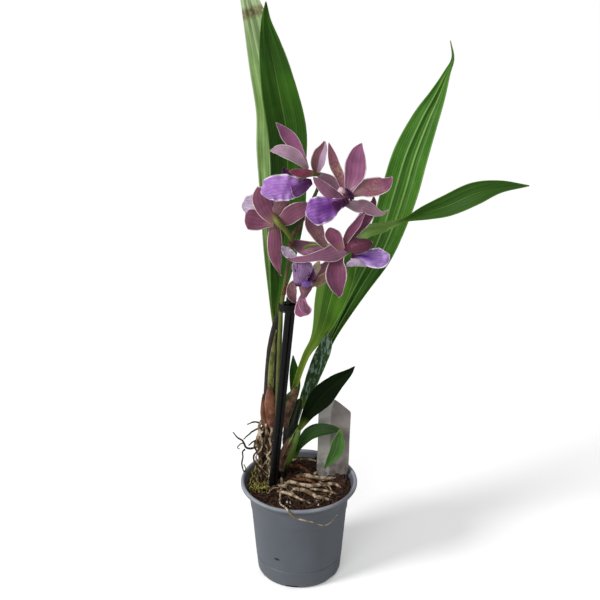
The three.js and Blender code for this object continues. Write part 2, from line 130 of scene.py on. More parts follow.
def addSheet(shape, spec, along=60, across=16, slots=(0, 1)):
    # a leaf or petal: a thin closed blade on a path, its face to the front slot and its back to the other
    t = 1 - (1 - np.linspace(0, 1, along + 1)) ** spec.get("crowd", 1.15)
    path = spline(spec["path"], t)
    face = np.array(spec["face"], float)
    face = spline(face, t) if face.ndim == 2 else np.broadcast_to(face, path.shape)
    fine = np.linspace(0, 1, 401)
    tangent = unit(np.gradient(spline(spec["path"], fine), axis=0))
    tangent = unit(np.stack([np.interp(t, fine, tangent[:, k]) for k in range(3)], 1))
    side = unit(np.cross(tangent, face))
    normal = unit(np.cross(side, tangent))
    half = np.maximum(spline(spec["widths"], t), 0.5) / 2
    tipRound = spec.get("tipRound", 0.0)
    if tipRound:
        q = np.clip((t[:, None] - (1 - tipRound)) / tipRound, 0, 1)
        half = np.maximum(half * np.sqrt(1 - q**2), 0.15)
    s = np.linspace(-1, 1, across + 1)[None, :]
    x, z = sectionOf(spec, s, t, half)
    middle = path[:, None] + side[:, None] * x[..., None] + normal[:, None] * z[..., None]
    if "torn" in spec:
        ragged = np.abs(wander(spec.get("seed", 1) + 5, s[0] * 2.3, waves=7)) + 0.4 * (s[0] > 0.2)
        reach = spec["torn"] * ragged[None, :] * np.clip((t[:, None] - 0.75) / 0.25, 0, 1) ** 2
        middle = middle - tangent[:, None] * reach[..., None]
    out = unit(np.cross(np.gradient(middle, axis=1), np.gradient(middle, axis=0)))
    out = np.where((out * normal[:, None]).sum(-1, keepdims=True) < 0, -out, out)
    depth = spec.get("thickness", 0.7) / 2 * (1 - 0.5 * s**2) * np.minimum(half / 3, 1)
    keel = spec.get("keel", 0.0) * np.exp(-((s / 0.09) ** 2)) * np.minimum(half / 6, 1)
    top = middle + out * depth[..., None]
    under = middle - out * (depth + keel)[..., None]
    uv = np.stack(np.broadcast_arrays(s / 2 + 0.5, t[:, None]), -1)
    a = addGrid(shape, top, uv, slots[0])
    b = addGrid(shape, under, uv, slots[1], flip=True)
    rows, cols = along + 1, across + 1
    rim = [k for k in range(cols)] + [r * cols + cols - 1 for r in range(1, rows)]
    rim += [(rows - 1) * cols + k for k in range(cols - 2, -1, -1)]
    rim += [r * cols for r in range(rows - 2, 0, -1)]
    flatUv = uv.reshape(-1, 2)
    for k, p in enumerate(rim):
        q = rim[(k + 1) % len(rim)]
        shape["faces"].append([a + p, b + p, b + q, a + q])
        shape["uvs"].extend([flatUv[p], flatUv[p], flatUv[q], flatUv[q]])
        shape["slots"].append(slots[0])


def addTube(shape, spec, along=40, around=14):
    # a stalk or root: round rings on a path, closed with rounded ends
    t = np.linspace(0, 1, along + 1)
    path = spline(spec["path"], t)
    tangent = unit(np.gradient(path, axis=0))
    radius = np.maximum(spline(spec["radii"], t)[:, 0], 0.12)
    ref = np.cross(tangent[0], [0.3, 0.9, 0.3])
    across = [unit(ref)]
    for k in range(1, along + 1):
        carried = across[-1] - tangent[k] * np.dot(across[-1], tangent[k])
        across.append(unit(carried))
    across = np.array(across)
    out = np.cross(tangent, across)
    lead = np.array([0.35, 0.75, 1.15])
    index = np.concatenate([[0] * 3, np.arange(along + 1), [along] * 3])
    push = np.concatenate([-0.55 * np.cos(lead), np.zeros(along + 1), 0.55 * np.cos(lead[::-1])])
    scale = np.concatenate([np.sin(lead), np.ones(along + 1), np.sin(lead[::-1])])
    angle = np.linspace(0, 2 * np.pi, around, endpoint=False)[None, :]
    seed = spec.get("seed", 1)
    run = t[index][:, None]
    size = radius[index][:, None] * scale[:, None]
    relief = wander(seed, run * spec.get("lumpRate", 3), np.cos(angle) * 0.4)
    size = size * (1 + spec.get("lumps", 0.0) * relief)
    size = size * (1 + spec.get("flutes", 0.0) * np.cos(angle * spec.get("fluteCount", 8)))
    centre = path[index] + tangent[index] * (push * radius[index])[:, None]
    stray = spec.get("stray", 0.0)
    centre = centre + stray * np.stack([wander(seed + k, run[:, 0] * 2.5) for k in (11, 12, 13)], 1)
    grid = centre[:, None] + (across[index][:, None] * np.cos(angle)[..., None]
                              + out[index][:, None] * np.sin(angle)[..., None]
                              ) * size[..., None]
    uv = np.stack(np.broadcast_arrays(angle / (2 * np.pi), run), -1)
    base = addGrid(shape, grid, uv, wrap=True)
    rows = len(index)
    first = [base + k for k in range(around)]
    last = [base + (rows - 1) * around + k for k in range(around)]
    addFan(shape, centre[0] - tangent[0] * radius[0] * 0.04, first, [0.5, 0], flip=True)
    addFan(shape, centre[-1] + tangent[-1] * radius[-1] * 0.04, last, [0.5, 1])


def makeObject(shape, name, materials, sharpAngle=None):
    mesh = bpy.data.meshes.new(name)
    mesh.from_pydata((np.vstack(shape["points"]) * mm).tolist(), [], shape["faces"])
    layer = mesh.uv_layers.new(name="surface")
    layer.data.foreach_set("uv", np.array(shape["uvs"], np.float32).ravel())
    mesh.polygons.foreach_set("material_index", shape["slots"])
    mesh.polygons.foreach_set("use_smooth", [True] * len(mesh.polygons))
    for material in materials:
        mesh.materials.append(material)
    if sharpAngle:
        mesh.set_sharp_from_angle(angle=math.radians(sharpAngle))
    mesh.update()
    obj = bpy.data.objects.new(name, mesh)
    bpy.context.scene.collection.objects.link(obj)
    return obj


def ridePiece(piece, slotName, *nodes):
    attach(piece, "root")
    if nodes:
        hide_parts(*nodes)
    return piece


# Shader helpers and the groups that several finishes share

def colour(r, g, b):
    # display values 0-255 as scene-linear colour
    linear = [v / 255 / 12.92 if v <= 10 else ((v / 255 + 0.055) / 1.055) ** 2.4 for v in (r, g, b)]
    return (*linear, 1.0)


def node(tree, kind, **values):
    made = tree.nodes.new(kind)
    for key, value in values.items():
        setattr(made, key, value)
    return made


def join(tree, value, socket):
    # a number is set on the socket, an output is linked to it
    if isinstance(value, (int, float)):
        socket.default_value = value
    else:
        tree.links.new(value, socket)


def mathNode(tree, operation, *values):
    made = node(tree, "ShaderNodeMath", operation=operation)
    for value, socket in zip(values, made.inputs):
        join(tree, value, socket)
    return made.outputs[0]


def times(tree, a, b):
    return mathNode(tree, "MULTIPLY", a, b)


def mix(tree, mask, a, b):
    # colour a where the mask is 0, colour b where it is 1; a colour of four numbers is linear already
    made = node(tree, "ShaderNodeMix", data_type="RGBA")
    for k, value in ((0, mask), (6, a), (7, b)):
        if isinstance(value, tuple):
            made.inputs[k].default_value = colour(*value) if len(value) == 3 else value
        else:
            join(tree, value, made.inputs[k])
    return made.outputs[2]


def tint(tree, base, mask, share, over):
    # colour over laid on the base at a share of the mask
    return mix(tree, times(tree, mask, share), base, over)


def axesOf(tree, vector):
    parts = node(tree, "ShaderNodeSeparateXYZ")
    join(tree, vector, parts.inputs[0])
    return parts.outputs


def ramp(tree, value, low, high, toLow=0.0, toHigh=1.0):
    made = node(tree, "ShaderNodeMapRange", interpolation_type="SMOOTHSTEP")
    for each, socket in zip((value, low, high, toLow, toHigh), made.inputs):
        join(tree, each, socket)
    return made.outputs[0]


def noiseOf(tree, vector, scale, detail=3.0, roughness=0.55):
    made = node(tree, "ShaderNodeTexNoise")
    made.inputs["Detail"].default_value = detail
    made.inputs["Roughness"].default_value = roughness
    join(tree, vector, made.inputs["Vector"])
    join(tree, scale, made.inputs["Scale"])
    return made.outputs["Fac"]


def stretched(tree, vector, x, y, z=1.0):
    made = node(tree, "ShaderNodeMapping")
    made.inputs["Scale"].default_value = (x, y, z)
    join(tree, vector, made.inputs["Vector"])
    return made.outputs[0]


def group(name, vector, **numbers):
    # a shader group that turns a vector and some numbers into one mask
    tree = bpy.data.node_groups.new(name, "ShaderNodeTree")
    tree.interface.new_socket(name=vector, in_out="INPUT", socket_type="NodeSocketVector")
    for title, value in numbers.items():
        made = tree.interface.new_socket(name=title, in_out="INPUT", socket_type="NodeSocketFloat")
        made.default_value = value
    tree.interface.new_socket(name="Mask", in_out="OUTPUT", socket_type="NodeSocketFloat")
    return tree, node(tree, "NodeGroupInput"), node(tree, "NodeGroupOutput")


def makeVeinGroup():
    # fine lines that run the length of a blade, from its own UV map
    tree, start, end = group("lengthVeins", "Surface", Count=16.0, Wander=0.02, Sharpness=3.0, Fan=0.0)
    across, along, _ = axesOf(tree, start.outputs["Surface"])
    sway = noiseOf(tree, stretched(tree, start.outputs["Surface"], 3, 9), 1.0, 2.0)
    sway = times(tree, mathNode(tree, "SUBTRACT", sway, 0.5), start.outputs["Wander"])
    off = mathNode(tree, "SUBTRACT", across, 0.5)
    # with Fan the lines spread from the base
    spread = mathNode(tree, "MULTIPLY_ADD", along, start.outputs["Fan"], 1.0)
    swayed = mathNode(tree, "ADD", mathNode(tree, "DIVIDE", off, spread), sway)
    turns = times(tree, start.outputs["Count"], 6.2832)
    wave = mathNode(tree, "COSINE", times(tree, swayed, turns))
    lifted = mathNode(tree, "MULTIPLY_ADD", wave, 0.5, 0.5)
    join(tree, mathNode(tree, "POWER", lifted, start.outputs["Sharpness"]), end.inputs["Mask"])
    return tree


def makeMarginGroup():
    # 1 along the two long edges and the tip of a blade, 0 inside
    tree, start, end = group("paleMargin", "Surface", Width=0.1, Tip=0.03)
    surface, width = start.outputs["Surface"], start.outputs["Width"]
    across, along, _ = axesOf(tree, surface)
    off = mathNode(tree, "ABSOLUTE", mathNode(tree, "MULTIPLY_ADD", across, 2.0, -1.0))
    shake = mathNode(tree, "SUBTRACT", noiseOf(tree, stretched(tree, surface, 2, 14), 1.0, 2.0), 0.5)
    shake = times(tree, shake, width)
    inner = mathNode(tree, "SUBTRACT", 1.0, width)
    outer = mathNode(tree, "MULTIPLY_ADD", width, 0.4, inner)
    long = ramp(tree, mathNode(tree, "ADD", off, shake), inner, outer)
    tipFrom = mathNode(tree, "SUBTRACT", 1.0, times(tree, start.outputs["Tip"], 2.0))
    tip = ramp(tree, along, tipFrom, 1.0)
    join(tree, mathNode(tree, "MAXIMUM", long, tip), end.inputs["Mask"])
    return tree


def makePatchGroup():
    # soft patches in the piece's own space
    tree, start, end = group("patches", "Place", Scale=60.0, From=0.45, To=0.65)
    fac = noiseOf(tree, start.outputs["Place"], start.outputs["Scale"], 4.0)
    join(tree, ramp(tree, fac, start.outputs["From"], start.outputs["To"]), end.inputs["Mask"])
    return tree


veinGroup = makeVeinGroup()
marginGroup = makeMarginGroup()
patchGroup = makePatchGroup()


def useGroup(tree, which, vector, *values):
    made = node(tree, "ShaderNodeGroup", node_tree=which)
    join(tree, vector, made.inputs[0])
    for k, value in enumerate(values):
        made.inputs[k + 1].default_value = value
    return made.outputs[0]


def newMaterial(name, roughness=0.5, specular=0.5, coat=0.0, coatRoughness=0.2, sheen=0.0):
    material = bpy.data.materials.new(name)
    material.use_nodes = True
    tree = material.node_tree
    tree.nodes.clear()
    out = node(tree, "ShaderNodeOutputMaterial")
    shader = node(tree, "ShaderNodeBsdfPrincipled")
    join(tree, shader.outputs[0], out.inputs[0])
    shader.inputs["Roughness"].default_value = roughness
    shader.inputs["Specular IOR Level"].default_value = specular
    shader.inputs["Coat Weight"].default_value = coat
    shader.inputs["Coat Roughness"].default_value = coatRoughness
    shader.inputs["Sheen Weight"].default_value = sheen
    coords = node(tree, "ShaderNodeTexCoord")
    return material, tree, shader, coords.outputs["Object"], coords.outputs["UV"]


def setBump(tree, shader, height, distance, strength=1.0):
    bump = node(tree, "ShaderNodeBump")
    bump.inputs["Distance"].default_value = distance
    bump.inputs["Strength"].default_value = strength
    join(tree, height, bump.inputs["Height"])
    join(tree, bump.outputs[0], shader.inputs["Normal"])


def setRoughness(tree, shader, mask, low, high):
    join(tree, ramp(tree, mask, 0.0, 1.0, low, high), shader.inputs["Roughness"])


# Finishes

def leafFinish(name, deep, mid, pale, ribs=(0.5,), ribPale=0.6, roughness=0.42, stripe=0.25, blotch=0.0,
               shine=0.22, foot=(0.16, 0.55), far=None, side=None, band=None, scar=None):
    # far and side are (from, to, colour), band is (place, half width, colour), foot is (reach, share); side
    # is a painted highlight along one long edge of the lower blade
    material, tree, shader, place, surface = newMaterial(name, roughness, shine, shine * 0.2, 0.35)
    veins = useGroup(tree, veinGroup, surface, 15.0, 0.035, 2.2)
    fine = useGroup(tree, veinGroup, surface, 49.5, 0.05, 1.4)
    across, along, _ = axesOf(tree, surface)
    clouds = useGroup(tree, patchGroup, place, 22.0, 0.35, 0.7)
    bands = noiseOf(tree, stretched(tree, surface, 7, 0.8), 1.0, 3.0)
    body = mix(tree, clouds, deep, mid)
    body = tint(tree, body, ramp(tree, bands, 0.45, 0.75), stripe, pale)
    body = tint(tree, body, veins, 0.12, pale)
    body = tint(tree, body, fine, 0.22, deep)
    if far:
        body = tint(tree, body, ramp(tree, along, far[0], far[1]), 0.85, far[2])
    # painted highlight: one long edge of the lower half of the blade is painted paler where light falls on
    # it
    if side:
        lit = times(tree, ramp(tree, across, side[0], side[1]), ramp(tree, along, 0.55, 0.45))
        body = tint(tree, body, lit, 0.75, side[2])
    if band:
        off = mathNode(tree, "ABSOLUTE", mathNode(tree, "SUBTRACT", along, band[0]))
        body = tint(tree, body, ramp(tree, off, band[1], band[1] * 0.5), 0.8, band[2])
    ribMask = 0.0
    for at in ribs:
        off = mathNode(tree, "ABSOLUTE", mathNode(tree, "SUBTRACT", across, at))
        ribMask = mathNode(tree, "MAXIMUM", ribMask, ramp(tree, off, 0.03, 0.008))
    ribMask = times(tree, ribMask, ramp(tree, along, 1.0, 0.7))
    body = tint(tree, body, ribMask, ribPale, pale)
    margin = useGroup(tree, marginGroup, surface, 0.05, 0.008)
    body = tint(tree, body, margin, 0.35, pale)
    base = ramp(tree, along, foot[0], 0.0)
    body = tint(tree, body, base, foot[1], (152, 176, 66))
    body = tint(tree, body, ramp(tree, along, 0.975, 1.0), 0.25, (120, 92, 48))
    if blotch:
        silver = useGroup(tree, patchGroup, stretched(tree, place, 1, 1, 0.35), 330.0, 0.5, 0.6)
        body = tint(tree, body, silver, blotch, (150, 175, 165))
    if scar:
        off = mathNode(tree, "ABSOLUTE", mathNode(tree, "SUBTRACT", along, scar))
        near = ramp(tree, off, 0.022, 0.006)
        rough = useGroup(tree, patchGroup, place, 260.0, 0.3, 0.5)
        body = tint(tree, body, times(tree, near, rough), 0.75, (120, 96, 62))
    join(tree, body, shader.inputs["Base Color"])
    setRoughness(tree, shader, clouds, roughness - 0.06, roughness + 0.1)
    height = mathNode(tree, "ADD", veins, times(tree, fine, 0.35))
    setBump(tree, shader, height, 0.00025, 0.5)
    return material


def tepalFinish(name, main, deep, edge, base, veinCount=6.0, blotch=None, blotchShare=0.0, roughness=0.5,
                marginWidth=0.1, streak=0.34, split=None):
    material, tree, shader, place, surface = newMaterial(name, roughness, 0.2, 0.0, 0.3, 0.08)
    veins = useGroup(tree, veinGroup, surface, veinCount, 0.06, 1.6, 0.35)
    fine = useGroup(tree, veinGroup, surface, veinCount * 3.1, 0.08, 1.3, 0.3)
    across, along, _ = axesOf(tree, surface)
    clouds = useGroup(tree, patchGroup, place, 95.0, 0.35, 0.7)
    body = tint(tree, main, clouds, 0.5, deep)
    body = tint(tree, body, veins, streak, deep)
    body = tint(tree, body, fine, 0.1, edge)
    if split:
        body = mix(tree, ramp(tree, across, 0.5, 0.62), body, split)
    low = ramp(tree, along, 0.3, 0.0)
    body = tint(tree, body, low, 0.65, base)
    if blotch:
        spots = useGroup(tree, patchGroup, place, 420.0, 0.44, 0.56)
        where = times(tree, ramp(tree, along, 0.12, 0.3), ramp(tree, along, 0.75, 0.45))
        body = tint(tree, body, times(tree, spots, where), blotchShare, blotch)
    margin = useGroup(tree, marginGroup, surface, marginWidth, 0.02)
    body = mix(tree, margin, body, mix(tree, clouds, edge, (244, 226, 224)))
    join(tree, body, shader.inputs["Base Color"])
    setRoughness(tree, shader, clouds, roughness - 0.08, roughness + 0.08)
    grain = noiseOf(tree, place, 1500.0, 2.0)
    height = mathNode(tree, "ADD", veins, times(tree, grain, 0.4))
    setBump(tree, shader, height, 0.0002, 0.4)
    return material


def lipFinish(name, main, heart, heartTo, heartWide, edge=(232, 214, 238), streak=0.4, marginWidth=0.09,
              throatShare=1.0, spots=None):
    material, tree, shader, place, surface = newMaterial(name, 0.48, 0.2, 0.0, 0.3, 0.1)
    veins = useGroup(tree, veinGroup, surface, 13.0, 0.09, 1.4, 0.9)
    across, along, _ = axesOf(tree, surface)
    clouds = useGroup(tree, patchGroup, place, 130.0, 0.3, 0.72)
    body = tint(tree, main, clouds, 0.6, heart)
    body = tint(tree, body, veins, streak, heart)
    off = mathNode(tree, "ABSOLUTE", mathNode(tree, "SUBTRACT", across, 0.5))
    shake = mathNode(tree, "SUBTRACT", noiseOf(tree, stretched(tree, surface, 9, 4), 1.0), 0.5)
    middle = ramp(tree, mathNode(tree, "MULTIPLY_ADD", shake, 0.12, off), heartWide, 0.02)
    reach = ramp(tree, along, heartTo, heartTo * 0.3)
    body = tint(tree, body, middle, reach, heart)
    throat = times(tree, ramp(tree, along, 0.2, 0.04), throatShare)
    body = mix(tree, throat, body, (72, 18, 62))
    if spots:
        dashes = useGroup(tree, patchGroup, stretched(tree, place, 1, 1, 0.4), 420.0, 0.6, 0.64)
        where = ramp(tree, across, 0.55, 0.35)
        body = tint(tree, body, dashes, where, spots)
    margin = useGroup(tree, marginGroup, surface, marginWidth, 0.03)
    body = mix(tree, margin, body, edge)
    join(tree, body, shader.inputs["Base Color"])
    setRoughness(tree, shader, clouds, 0.42, 0.6)
    grain = noiseOf(tree, place, 1300.0, 2.0)
    height = mathNode(tree, "ADD", veins, times(tree, grain, 0.5))
    setBump(tree, shader, height, 0.00025, 0.7)
    return material


def stalkFinish(name, stops, speckle, speckleShare=0.3, roughness=0.45):
    # colours that follow one another along the stalk, with flecks over them
    material, tree, shader, place, surface = newMaterial(name, roughness, 0.4, 0.05, 0.3)
    along = axesOf(tree, surface)[1]
    drift = mathNode(tree, "MULTIPLY_ADD", noiseOf(tree, place, 90.0), 0.12, -0.06)
    run = mathNode(tree, "ADD", along, drift)
    body = stops[0][1]
    for (fromAt, _), (toAt, nextColour) in zip(stops, stops[1:]):
        body = mix(tree, ramp(tree, run, fromAt, toAt), body, nextColour)
    flecks = useGroup(tree, patchGroup, stretched(tree, place, 1, 1, 0.3), 380.0, 0.5, 0.68)
    body = tint(tree, body, flecks, speckleShare, speckle)
    join(tree, body, shader.inputs["Base Color"])
    setRoughness(tree, shader, flecks, roughness - 0.05, roughness + 0.15)
    height = noiseOf(tree, stretched(tree, place, 1, 1, 0.15), 900.0, 3.0)
    setBump(tree, shader, height, 0.0004, 0.6)
    return material


def dryFinish(name, light, dark, pale, fibres=26.0, roughness=0.78):
    # papery and fibrous, streaked along its length
    material, tree, shader, place, surface = newMaterial(name, roughness, 0.25, 0.0, 0.3, 0.1)
    streaks = useGroup(tree, veinGroup, surface, fibres, 0.12, 1.2)
    clouds = useGroup(tree, patchGroup, place, 120.0, 0.35, 0.65)
    body = mix(tree, clouds, light, dark)
    body = tint(tree, body, streaks, 0.5, dark)
    margin = useGroup(tree, marginGroup, surface, 0.16, 0.04)
    body = tint(tree, body, margin, 0.7, pale)
    join(tree, body, shader.inputs["Base Color"])
    setRoughness(tree, shader, clouds, roughness - 0.1, roughness + 0.1)
    setBump(tree, shader, mathNode(tree, "ADD", streaks, noiseOf(tree, place, 700.0)), 0.0004, 0.8)
    return material


def rootFinish(name, light, dark, green, greenShare=0.3):
    material, tree, shader, place, _ = newMaterial(name, 0.8, 0.3)
    patchy = useGroup(tree, patchGroup, place, 210.0, 0.38, 0.6)
    mossy = useGroup(tree, patchGroup, place, 75.0, 0.5, 0.68)
    scuffs = useGroup(tree, patchGroup, stretched(tree, place, 1, 1, 2.5), 900.0, 0.45, 0.62)
    body = mix(tree, patchy, light, dark)
    body = tint(tree, body, mossy, greenShare, green)
    body = tint(tree, body, scuffs, 0.35, dark)
    join(tree, body, shader.inputs["Base Color"])
    setRoughness(tree, shader, patchy, 0.65, 0.92)
    setBump(tree, shader, mathNode(tree, "ADD", noiseOf(tree, place, 650.0, 5.0), patchy), 0.0007, 0.9)
    return material


def barkFinish(name, light, dark, grey):
    material, tree, shader, place, _ = newMaterial(name, 0.85, 0.25)
    info = node(tree, "ShaderNodeAttribute", attribute_name="chipTint")
    layers = noiseOf(tree, stretched(tree, place, 1, 1, 5), 260.0, 6.0)
    body = mix(tree, ramp(tree, layers, 0.35, 0.65), dark, light)
    body = mix(tree, ramp(tree, info.outputs["Fac"], 0.0, 1.0, 0.0, 0.6), body, dark)
    dust = useGroup(tree, patchGroup, place, 420.0, 0.55, 0.7)
    body = tint(tree, body, dust, 0.45, grey)
    join(tree, body, shader.inputs["Base Color"])
    setRoughness(tree, shader, layers, 0.7, 0.95)
    setBump(tree, shader, layers, 0.0012, 0.9)
    return material


def potFinish():
    material, tree, shader, place, _ = newMaterial("slatePlastic", 0.42, 0.45, 0.0)
    _, depth, height = axesOf(tree, place)
    clouds = useGroup(tree, patchGroup, place, 18.0, 0.3, 0.75)
    body = mix(tree, clouds, (93, 99, 107), (104, 110, 118))
    specks = useGroup(tree, patchGroup, place, 900.0, 0.6, 0.75)
    body = tint(tree, body, specks, 0.12, (140, 145, 150))
    # a brown smear under the rim, dust near the foot and one dark nick low on the wall
    smear = times(tree, useGroup(tree, patchGroup, place, 42.0, 0.52, 0.7), ramp(tree, height, 0.06, 0.085))
    body = tint(tree, body, smear, 0.25, (92, 84, 78))
    dust = times(tree, ramp(tree, height, 0.02, 0.0), useGroup(tree, patchGroup, place, 240.0, 0.4, 0.6))
    body = tint(tree, body, dust, 0.3, (120, 118, 114))
    # the crown of the rim is painted pale, a painted highlight where light catches it, patchy along its run
    highlightStrength = ramp(tree, noiseOf(tree, place, 26.0), 0.3, 0.6, 0.35, 1.0)
    crown = times(tree, ramp(tree, height, 0.1045, 0.1074), highlightStrength)
    body = tint(tree, body, crown, 0.75, (186, 188, 198))
    nick = node(tree, "ShaderNodeVectorMath", operation="DISTANCE")
    join(tree, stretched(tree, place, 0.55, 0.0, 1.0), nick.inputs[0])
    nick.inputs[1].default_value = (-0.0125, 0.0, 0.036)
    front = mathNode(tree, "LESS_THAN", depth, 0.0)
    nickMask = times(tree, ramp(tree, nick.outputs["Value"], 0.0021, 0.0009), front)
    body = mix(tree, nickMask, body, (28, 28, 30))
    join(tree, body, shader.inputs["Base Color"])
    setRoughness(tree, shader, clouds, 0.36, 0.5)
    bandsUp = times(tree, noiseOf(tree, stretched(tree, place, 1, 1, 14), 30.0), 0.6)
    grain = mathNode(tree, "ADD", noiseOf(tree, place, 2200.0, 2.0), bandsUp)
    setBump(tree, shader, grain, 0.00012, 0.5)
    return material


def plasticFinish(name, body1, body2, roughness, scale=300.0, bump=0.0001):
    material, tree, shader, place, _ = newMaterial(name, roughness, 0.25)
    clouds = useGroup(tree, patchGroup, place, scale, 0.35, 0.7)
    join(tree, mix(tree, clouds, body1, body2), shader.inputs["Base Color"])
    setRoughness(tree, shader, clouds, roughness - 0.08, roughness + 0.12)
    setBump(tree, shader, noiseOf(tree, stretched(tree, place, 1, 1, 0.2), 1200.0), bump, 0.7)
    return material


def labelFinish():
    material, tree, shader, place, surface = newMaterial("labelPlastic", 0.45, 0.4)
    across, along, _ = axesOf(tree, surface)
    clouds = useGroup(tree, patchGroup, place, 60.0, 0.35, 0.65)
    body = mix(tree, clouds, (166, 158, 154), (146, 137, 133))
    # painted light and shade: one long strip of the label is painted pale as if lit, and the rest stays
    # darker as if in shade
    light = ramp(tree, across, 0.42, 0.36)
    body = tint(tree, body, light, 0.8, (206, 203, 198))
    damp = times(tree, ramp(tree, along, 0.62, 0.36), useGroup(tree, patchGroup, place, 160.0, 0.4, 0.6))
    body = tint(tree, body, damp, 0.6, (95, 84, 74))
    join(tree, body, shader.inputs["Base Color"])
    setRoughness(tree, shader, clouds, 0.38, 0.55)
    setBump(tree, shader, noiseOf(tree, place, 900.0), 0.00008, 0.6)
    return material


def floorFinish():
    material, tree, shader, place, _ = newMaterial("paleFloor", 0.85, 0.1)
    clouds = useGroup(tree, patchGroup, place, 1.5, 0.2, 0.8)
    seen = node(tree, "ShaderNodeLightPath")
    body = mix(tree, clouds, (232, 232, 232), (236, 236, 236))
    # the camera sees a brighter floor, so that the shadow falls off a white sheet
    body = mix(tree, seen.outputs["Is Camera Ray"], body, (1.3, 1.3, 1.3, 1.0))
    join(tree, body, shader.inputs["Base Color"])
    shader.inputs["Emission Color"].default_value = (1.0, 1.0, 1.0, 1.0)
    glow = times(tree, seen.outputs["Is Camera Ray"], 0.24)
    join(tree, glow, shader.inputs["Emission Strength"])
    return material


